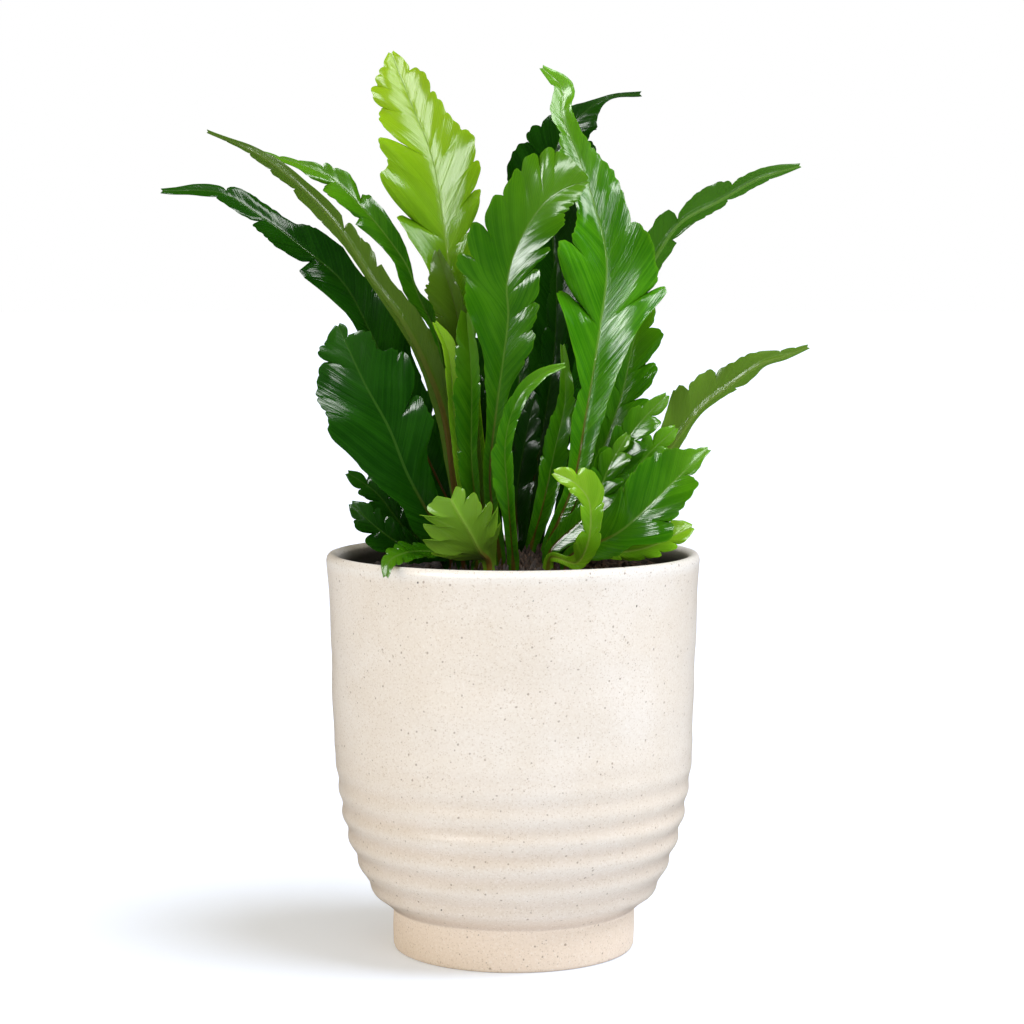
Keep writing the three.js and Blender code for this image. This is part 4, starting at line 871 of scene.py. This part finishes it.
def build_leaf(name, tone):
    """A glossy leaf: slanting veins from a sine of the distance along the midrib less a share of the distance
    from it, lighter patches from noise, a midrib that is brown towards the root, a lighter tip and a duller
    underside. Veins and noise also raise the surface, less towards the tip and on the midrib."""
    sh = new_shader(name)
    share, along, outward = sh.attribute("share"), sh.attribute("along"), sh.attribute("outward")
    across, under = sh.attribute("across"), sh.attribute("underside")
    place = sh.place()
    out = outward.math("ABSOLUTE")
    side = across.math("SIGN")
    vein_at = along - out * VEIN_SLANT
    warp = sh.noise(sh.join(vein_at * 0.1, out * 0.03, side * 3.0), 1.0, 1.0) - 0.5
    vein = ((vein_at / VEIN_PITCH + warp * 3.0 + side * 0.31) * math.tau).math("SINE") * 0.5 + 0.5
    streak = sh.noise(sh.join(vein_at * 0.9, out * 0.035, side * 5.0), 1.0, 2.0, 0.5)
    fold = sh.noise(sh.join(vein_at * 0.2, out * 0.06, side * 7.0), 1.0, 1.0, 0.4)
    mottle = sh.noise(place, 60.0, 2.0, 0.5)
    patch = (mottle * 0.5 + fold * 0.5 + streak * 0.7 - 0.33).ramp(0.3, 0.8)
    colour = sh.mix(patch, tone["blade"], tone["patch"])
    tip = share.ramp(1.0 - tone["reach"], 1.02)
    colour = sh.mix(tip * 0.9, colour, tone["tip"])
    margin = across.math("ABSOLUTE").ramp(0.93, 1.0)
    colour = sh.mix(margin * 0.3, colour, tone["tip"])
    colour = sh.mix(under * 0.85, colour, tone["under"])
    colour = sh.mix(vein * 0.24 + streak * 0.16, colour, tone["blade"])
    rib_width = 0.36 + (1.0 - share) * 0.7
    on_rib = 1.0 - out.ramp(rib_width * 0.5, rib_width * 1.2)
    brown = 1.0 - share.ramp(tone["brown"] * 0.5, tone["brown"] + 0.12)
    colour = sh.mix(on_rib * 0.7, colour, sh.mix(brown, tone["rib"], BROWN_RIB))
    # Scaled by the frond's factor, which is partly its own green and partly painted light and shading
    colour = sh.scaled(colour, sh.attribute("tint_and_painted_light"))
    fine = (1.0 - share.ramp(0.5, 0.9) * 0.75) * (1.0 - on_rib * 0.8)
    bump = sh.bump((vein * 0.02 + streak * 0.16) * fine + fold * 0.3, 0.001)
    rough = 0.11 + mottle * 0.06 + under * 0.05 + share.ramp(0.65, 1.0) * 0.1
    return sh.finish(
        Base_Color=colour, Roughness=rough, Normal=bump, Specular_IOR_Level=tone["gloss"], IOR=1.45,
        Subsurface_Weight=0.08, Subsurface_Radius=(0.4, 1.0, 0.1), Subsurface_Scale=0.0006)


def speck_layer(sh, place, scale, share_of_spots, size):
    """Round specks at some of the scattered centres, each of its own size."""
    distance, draw = sh.spots(place, scale)
    chosen = draw.ramp(1.0 - share_of_spots, 1.0 - share_of_spots + 0.02)
    edge = size * (0.45 + 1.1 * ((draw - (1.0 - share_of_spots)) / share_of_spots))
    return chosen * (1.0 - distance.ramp(edge * 0.6, edge))


def stoneware(looks):
    """Cream glaze with fine sand and specks of three sizes, over bare clay on the foot. Painted shading makes
    it darker and browner low down where the body turns under, in the rings' grooves, where it also stands for
    glaze pooled there, and just above the foot; a painted highlight makes it whiter on the rim, and painted
    shading makes the inside dark."""
    sh = new_shader("stoneware")
    place = sh.place()
    x, y, z = sh.split(place)
    cloud = sh.noise(place, 22.0, 3.0, 0.6)
    sand = sh.noise(place, 1100.0, 2.0, 0.6)
    colour = sh.mix(cloud.ramp(0.3, 0.7), looks.thin_glaze, looks.glaze)
    # Painted shading: darker and browner towards the bottom, where the body turns under
    colour = sh.mix((1.0 - z.ramp(0.015, 0.095)) * 0.55, colour, (0.72, 0.62, 0.51))
    # Painted shading along the rings' grooves, darker and browner in each groove; it also stands for glaze
    # pooled there
    crest = ((z / MM - FIRST_RING) * (math.tau / RING_PITCH)).math("COSINE")
    painted_groove_shading = (0.5 - crest * 0.5) * (1.0 - z.ramp(0.045, 0.090))
    colour = sh.mix(painted_groove_shading * 0.45, colour, (0.66, 0.54, 0.43))
    # Painted shading: darker and browner just above the foot, under the body's overhang
    colour = sh.mix((1.0 - z.ramp(0.016, 0.027)) * 0.5, colour, (0.58, 0.44, 0.33))
    # Painted highlight: whiter along the rim's top, where the light from above falls
    colour = sh.mix(z.ramp(0.1495, 0.1535) * 0.7, colour, (0.86, 0.83, 0.78))
    foot = 1.0 - (z + (cloud - 0.5) * 0.0012).ramp(0.0158, 0.0170)
    colour = sh.mix(foot, colour, looks.clay)
    colour = sh.mix(sand.ramp(0.52, 0.75) * 0.28, colour, (0.55, 0.44, 0.32))
    colour = sh.mix((1.0 - sand.ramp(0.28, 0.46)) * 0.25, colour, (0.97, 0.94, 0.90))
    wobble = sh.shifted(place, sh.scaled(sh.noise(place, 700.0, 2.0), 0.0008))
    tiny = speck_layer(sh, wobble, 1500.0, 0.4, 0.36)
    middle = speck_layer(sh, wobble, 700.0, 0.10, 0.27)
    large = speck_layer(sh, wobble, 260.0, 0.04, 0.11)
    colour = sh.mix(tiny * 0.35, colour, (0.40, 0.28, 0.17))
    colour = sh.mix(middle * 0.55, colour, (0.22, 0.14, 0.08))
    colour = sh.mix(large * 0.9, colour, (0.05, 0.03, 0.02))
    # Painted shading: the inside near the rim is coloured nearly black, for the shade under the leaves
    around = (x * x + y * y).math("SQRT")
    inside = (1.0 - around.ramp(0.0672, 0.0690)) * z.ramp(0.12, 0.125)
    colour = sh.mix(inside, colour, (0.035, 0.032, 0.02))
    relief = sh.bump(sh.noise(place, 160.0, 3.0, 0.55), 0.00035, 0.7)
    pits = sh.bump(large + middle * 0.6 + sand * 0.3, 0.0001, 0.8, Normal=relief)
    return sh.finish(
        Base_Color=colour, Roughness=0.36 + cloud * 0.1 + foot * 0.4, Normal=pits, IOR=1.5,
        Specular_IOR_Level=0.45, Coat_Weight=0.22 * (1.0 - foot), Coat_Roughness=0.3)


def potting_soil(name, scale):
    """Nearly black brown soil with lighter fibres and damp patches."""
    sh = new_shader(name)
    place = sh.place()
    grain = sh.noise(place, 420.0 * scale, 4.0, 0.65)
    lump = sh.noise(place, 90.0, 2.0)
    colour = sh.mix(grain.ramp(0.35, 0.75), (0.010, 0.006, 0.004), (0.075, 0.042, 0.022))
    colour = sh.mix(lump.ramp(0.55, 0.8) * 0.4, colour, (0.05, 0.028, 0.015))
    return sh.finish(Base_Color=colour, Roughness=0.75 + grain * 0.2, Normal=sh.bump(grain, 0.0008, 0.9))


def crown_bark(name, dark, light):
    """Brown fibre that is lighter along its streaks."""
    sh = new_shader(name)
    fibre = sh.noise(sh.place(), 700.0, 3.0, 0.6)
    colour = sh.mix(fibre.ramp(0.3, 0.7), dark, light)
    return sh.finish(Base_Color=colour, Roughness=0.7 + fibre * 0.2, Normal=sh.bump(fibre, 0.0005, 0.8))


def place_on_stage(name, data, location=(0.0, 0.0, 0.0)):
    """A new object of the stage, which is no piece of the part."""
    thing = bpy.data.objects.new(name, data)
    bpy.context.scene.collection.objects.link(thing)
    thing.location = location
    return thing


def aim(thing, target):
    """Turns a light so that its -Z axis points at a place, with the scene's Z axis kept upright."""
    way = np.asarray(target, float) - np.asarray(thing.location, float)
    flat = math.hypot(way[0], way[1])
    thing.rotation_euler = (math.atan2(flat, -way[2]), 0.0, math.atan2(way[1], way[0]) - math.pi / 2)


def add_light(kind, name, energy, colour, location, target, mirrored, **settings):
    """A lamp of one kind, aimed at a place, that either lights surfaces or only shows in glossy ones."""
    lamp = bpy.data.lights.new(name, kind)
    lamp.energy = energy
    lamp.color = colour
    for key, value in settings.items():
        setattr(lamp, key, value)
    light = place_on_stage(name, lamp, location)
    light.visible_diffuse = not mirrored
    light.visible_glossy = mirrored
    aim(light, target)


def add_panel(name, energy, colour, location, target, mirrored, width, height):
    """A rectangular lamp."""
    sizes = dict(shape="RECTANGLE", size=width, size_y=height)
    add_light("AREA", name, energy, colour, location, target, mirrored, **sizes)


def add_floor(looks):
    """A square floor, bright enough to meet the white surroundings, that glossy surfaces hardly mirror."""
    reach = looks.floor_reach
    floor = bpy.data.meshes.new("floor")
    corners = [(-reach, -reach, 0), (reach, -reach, 0), (reach, reach, 0), (-reach, reach, 0)]
    floor.from_pydata(corners, [], [(0, 1, 2, 3)])
    sh = new_shader("floor")
    seen = sh.node("ShaderNodeLightPath", output="Is Glossy Ray")
    colour = sh.mix(seen * (1.0 - looks.mirrored), FLOOR_COLOUR, BLACK)
    floor.materials.append(sh.finish(
        Base_Color=colour, Roughness=0.9, Specular_IOR_Level=0.0, Emission_Color=sh.mix(seen, WHITE, BLACK),
        Emission_Strength=looks.floor_glow))
    place_on_stage("floor", floor)


def add_surroundings(looks):
    """White surroundings for the camera, a dimmer warm light on surfaces and hardly any in mirrored rays."""
    sky = Shader(bpy.data.worlds.new("studio"))
    camera_ray = sky.node("ShaderNodeLightPath", output="Is Camera Ray")
    glossy_ray = sky.node("ShaderNodeLightPath", output="Is Glossy Ray")
    dim = looks.ambient * (1.0 - glossy_ray * (1.0 - looks.mirrored))
    colour = sky.mix(camera_ray, AMBIENT_COLOUR, WHITE)
    light = sky.node("ShaderNodeBackground", Color=colour, Strength=camera_ray * (1.0 - dim) + dim)
    sky.node("ShaderNodeOutputWorld", Surface=light)
    bpy.context.scene.world = sky.owner


def add_camera(looks):
    """The photo's camera: straight in front of the pot, above its lip, looking a little down."""
    camera = bpy.data.cameras.new("camera")
    camera.lens = looks.lens
    camera.sensor_width = 36.0
    camera.clip_start = 0.01
    camera.clip_end = 100.0
    view = place_on_stage("camera", camera, (CAMERA_ASIDE * MM, -looks.distance, looks.eye_height))
    view.rotation_euler = (math.pi / 2 - looks.pitch, 0.0, 0.0)
    bpy.context.scene.camera = view


def build_stage(looks):
    """A white floor and surroundings, a soft sun from high on the right, a warm panel on the left, a panel
    in front, two softboxes that only show in glossy surfaces, and the photo's camera."""
    settings = bpy.context.scene.view_settings
    settings.view_transform = "Standard"
    settings.look = "None"
    add_floor(looks)
    add_surroundings(looks)
    middle, leaves = (0.0, 0.0, 0.17), (0.0, 0.0, 0.25)
    add_light("SUN", "key", looks.key, (0.95, 1.0, 1.10), (0.88, -0.25, 1.75), middle, False,
              angle=math.radians(38))
    add_panel("fill", looks.fill, (1.0, 0.80, 0.50), (-1.3, -0.8, 0.7), middle, False, 0.9, 0.9)
    add_panel("front", looks.front, WHITE, (0.5, -1.5, 0.9), middle, False, 1.0, 0.8)
    add_panel("softbox", looks.softbox, WHITE, (-0.75, -0.95, 0.62), leaves, True, 0.6, 0.5)
    add_panel("top", looks.top, WHITE, (0.35, -1.0, 0.85), leaves, True, 0.5, 0.4)
    add_camera(looks)


def count_setting(name, description, default, least=4):
    """A setting that is a whole number."""
    return bpy.props.IntProperty(name=name, description=description, default=default, min=least)


def number_setting(name, description, default, **kind):
    """A setting that is a number, with a unit or subtype where one fits."""
    return bpy.props.FloatProperty(name=name, description=description, default=default, precision=4, **kind)


def length_setting(name, description, default):
    """A setting that is a length, in metres."""
    return bpy.props.FloatProperty(
        name=name, description=description, default=default, unit="LENGTH", precision=5)


def colour_setting(name, description, default):
    """A setting that is a colour."""
    return bpy.props.FloatVectorProperty(
        name=name, description=description, default=default, subtype="COLOR", min=0.0, max=1.0)


def blade_tint(tone):
    """The setting for the blade's colour in one tone."""
    return colour_setting(tone.capitalize(), f"Colour of the {tone} blades", LEAF_TONES[tone]["blade"])


class PotLooks(bpy.types.PropertyGroup):
    """The pot's turning and its glaze."""

    sides: count_setting("Sides", "Faces round the pot", 256, 24)
    wall_rows: count_setting("Wall rows", "Rows up the ringed wall", 150, 12)
    ring_depth: length_setting("Ring depth", "Height of the throwing rings", 0.0012)
    unevenness: length_setting("Unevenness", "How far the wall strays from round", 0.00035)
    glaze: colour_setting("Glaze", "Colour of the glaze", (0.82, 0.76, 0.685))
    thin_glaze: colour_setting("Thin glaze", "Colour of the glaze where it is thin", (0.77, 0.695, 0.60))
    clay: colour_setting("Clay", "Colour of the bare foot", (0.80, 0.675, 0.55))


class SoilLooks(bpy.types.PropertyGroup):
    """The soil and its crumbs."""

    sides: count_setting("Sides", "Faces round the soil", 220, 24)
    rings: count_setting("Rings", "Rings from the middle to the wall", 70, 6)
    crumbs: count_setting("Crumbs", "Loose crumbs on the soil", 1500, 10)


class CrownLooks(bpy.types.PropertyGroup):
    """The crown's scales."""

    scales: count_setting("Scales", "Brown scales on the crown", 700, 10)
    scale_length: length_setting("Scale length", "Middle length of a scale", 0.0045)


class FrondLooks(bpy.types.PropertyGroup):
    """How finely the fronds are made, how they ruffle, and their colours."""

    rows_per_lobe: count_setting("Rows per lobe", "Rows of faces in a lobe", 14)
    columns: count_setting("Columns", "Columns in half a blade", 11)
    blade: length_setting("Blade", "Thickness of the blade", 0.0005)
    arch: number_setting("Arch", "How far each half arches", 0.35)
    crimp: number_setting("Crimp", "Fine ruffle as a share of the half width", 0.09)
    teeth: length_setting("Teeth", "Depth of the round teeth along the margin", 0.0009)
    lime: blade_tint("lime")
    bright: blade_tint("bright")
    mid: blade_tint("mid")
    dark: blade_tint("dark")
    olive: blade_tint("olive")


class StageLooks(bpy.types.PropertyGroup):
    """The studio and the camera."""

    floor_reach: length_setting("Floor reach", "Half the floor's side", 30.0)
    floor_glow: number_setting("Floor glow", "Light given off by the floor", 0.11)
    ambient: number_setting("Ambient", "Strength of the surroundings", 0.6)
    mirrored: number_setting("Mirrored", "Share of floor and surroundings that glossy surfaces mirror", 0.02)
    key: number_setting("Key", "Strength of the soft sun", 2.45)
    fill: number_setting("Fill", "Power of the fill from the left", 4.9)
    front: number_setting("Front", "Power of the light from the front", 2.7)
    softbox: number_setting("Softbox", "Power of the left softbox that shows in glossy surfaces", 25.0)
    top: number_setting("Top", "Power of the upper softbox that shows in glossy surfaces", 13.0)
    lens: number_setting("Lens", "Focal length in millimetres", 92.46)
    distance: length_setting("Distance", "From the pot's axis to the camera", 1.026)
    eye_height: length_setting("Eye height", "Height of the camera", 0.25775)
    pitch: number_setting(
        "Pitch", "How far the camera looks down", math.radians(4.8), subtype="ANGLE", unit="ROTATION")


class FERN_OT_pot(bpy.types.Operator):
    """Make the stoneware pot"""

    bl_idname = "fern.pot"
    bl_label = "Make pot"

    def execute(self, context):
        pot_piece(context.scene.fern_pot)
        return {"FINISHED"}


class FERN_OT_soil(bpy.types.Operator):
    """Make the soil and its crumbs"""

    bl_idname = "fern.soil"
    bl_label = "Make soil"

    def execute(self, context):
        soil_piece(context.scene.fern_soil)
        crumbs_piece(context.scene.fern_soil)
        return {"FINISHED"}


class FERN_OT_crown(bpy.types.Operator):
    """Make the scaly crown"""

    bl_idname = "fern.crown"
    bl_label = "Make crown"

    def execute(self, context):
        crown_dome()
        crown_scales(context.scene.fern_crown)
        return {"FINISHED"}


class FERN_OT_fronds(bpy.types.Operator):
    """Make all the fronds"""

    bl_idname = "fern.fronds"
    bl_label = "Make fronds"

    def execute(self, context):
        for frond in FRONDS:
            frond_piece(frond, context.scene.fern_fronds)
        return {"FINISHED"}


class FERN_OT_stage(bpy.types.Operator):
    """Make the studio and the camera"""

    bl_idname = "fern.stage"
    bl_label = "Make stage"

    def execute(self, context):
        build_stage(context.scene.fern_stage)
        return {"FINISHED"}


class FERN_PT_panel(bpy.types.Panel):
    """Settings and buttons of the fern"""

    bl_idname = "FERN_PT_panel"
    bl_label = "Fern"
    bl_space_type = "VIEW_3D"
    bl_region_type = "UI"
    bl_category = "Fern"

    def draw(self, context):
        for key, (looks, operator) in GROUPS.items():
            box = self.layout.box()
            for name in looks.__annotations__:
                box.prop(getattr(context.scene, key), name)
            box.operator(operator.bl_idname)


GROUPS = {
    "fern_pot": (PotLooks, FERN_OT_pot),
    "fern_soil": (SoilLooks, FERN_OT_soil),
    "fern_crown": (CrownLooks, FERN_OT_crown),
    "fern_fronds": (FrondLooks, FERN_OT_fronds),
    "fern_stage": (StageLooks, FERN_OT_stage),
}


def register():
    """Adds the settings, the buttons and the panel to Blender."""
    for key, (looks, operator) in GROUPS.items():
        bpy.utils.register_class(looks)
        bpy.utils.register_class(operator)
        setattr(bpy.types.Scene, key, bpy.props.PointerProperty(type=looks))
    bpy.utils.register_class(FERN_PT_panel)


def unregister():
    """Takes them away again."""
    bpy.utils.unregister_class(FERN_PT_panel)
    for key, (looks, operator) in reversed(GROUPS.items()):
        delattr(bpy.types.Scene, key)
        bpy.utils.unregister_class(operator)
        bpy.utils.unregister_class(looks)


def main():
    """Makes every piece and the stage."""
    register()
    bpy.ops.fern.pot()
    bpy.ops.fern.soil()
    bpy.ops.fern.crown()
    bpy.ops.fern.fronds()
    bpy.ops.fern.stage()


if __name__ == "__main__":
    main()
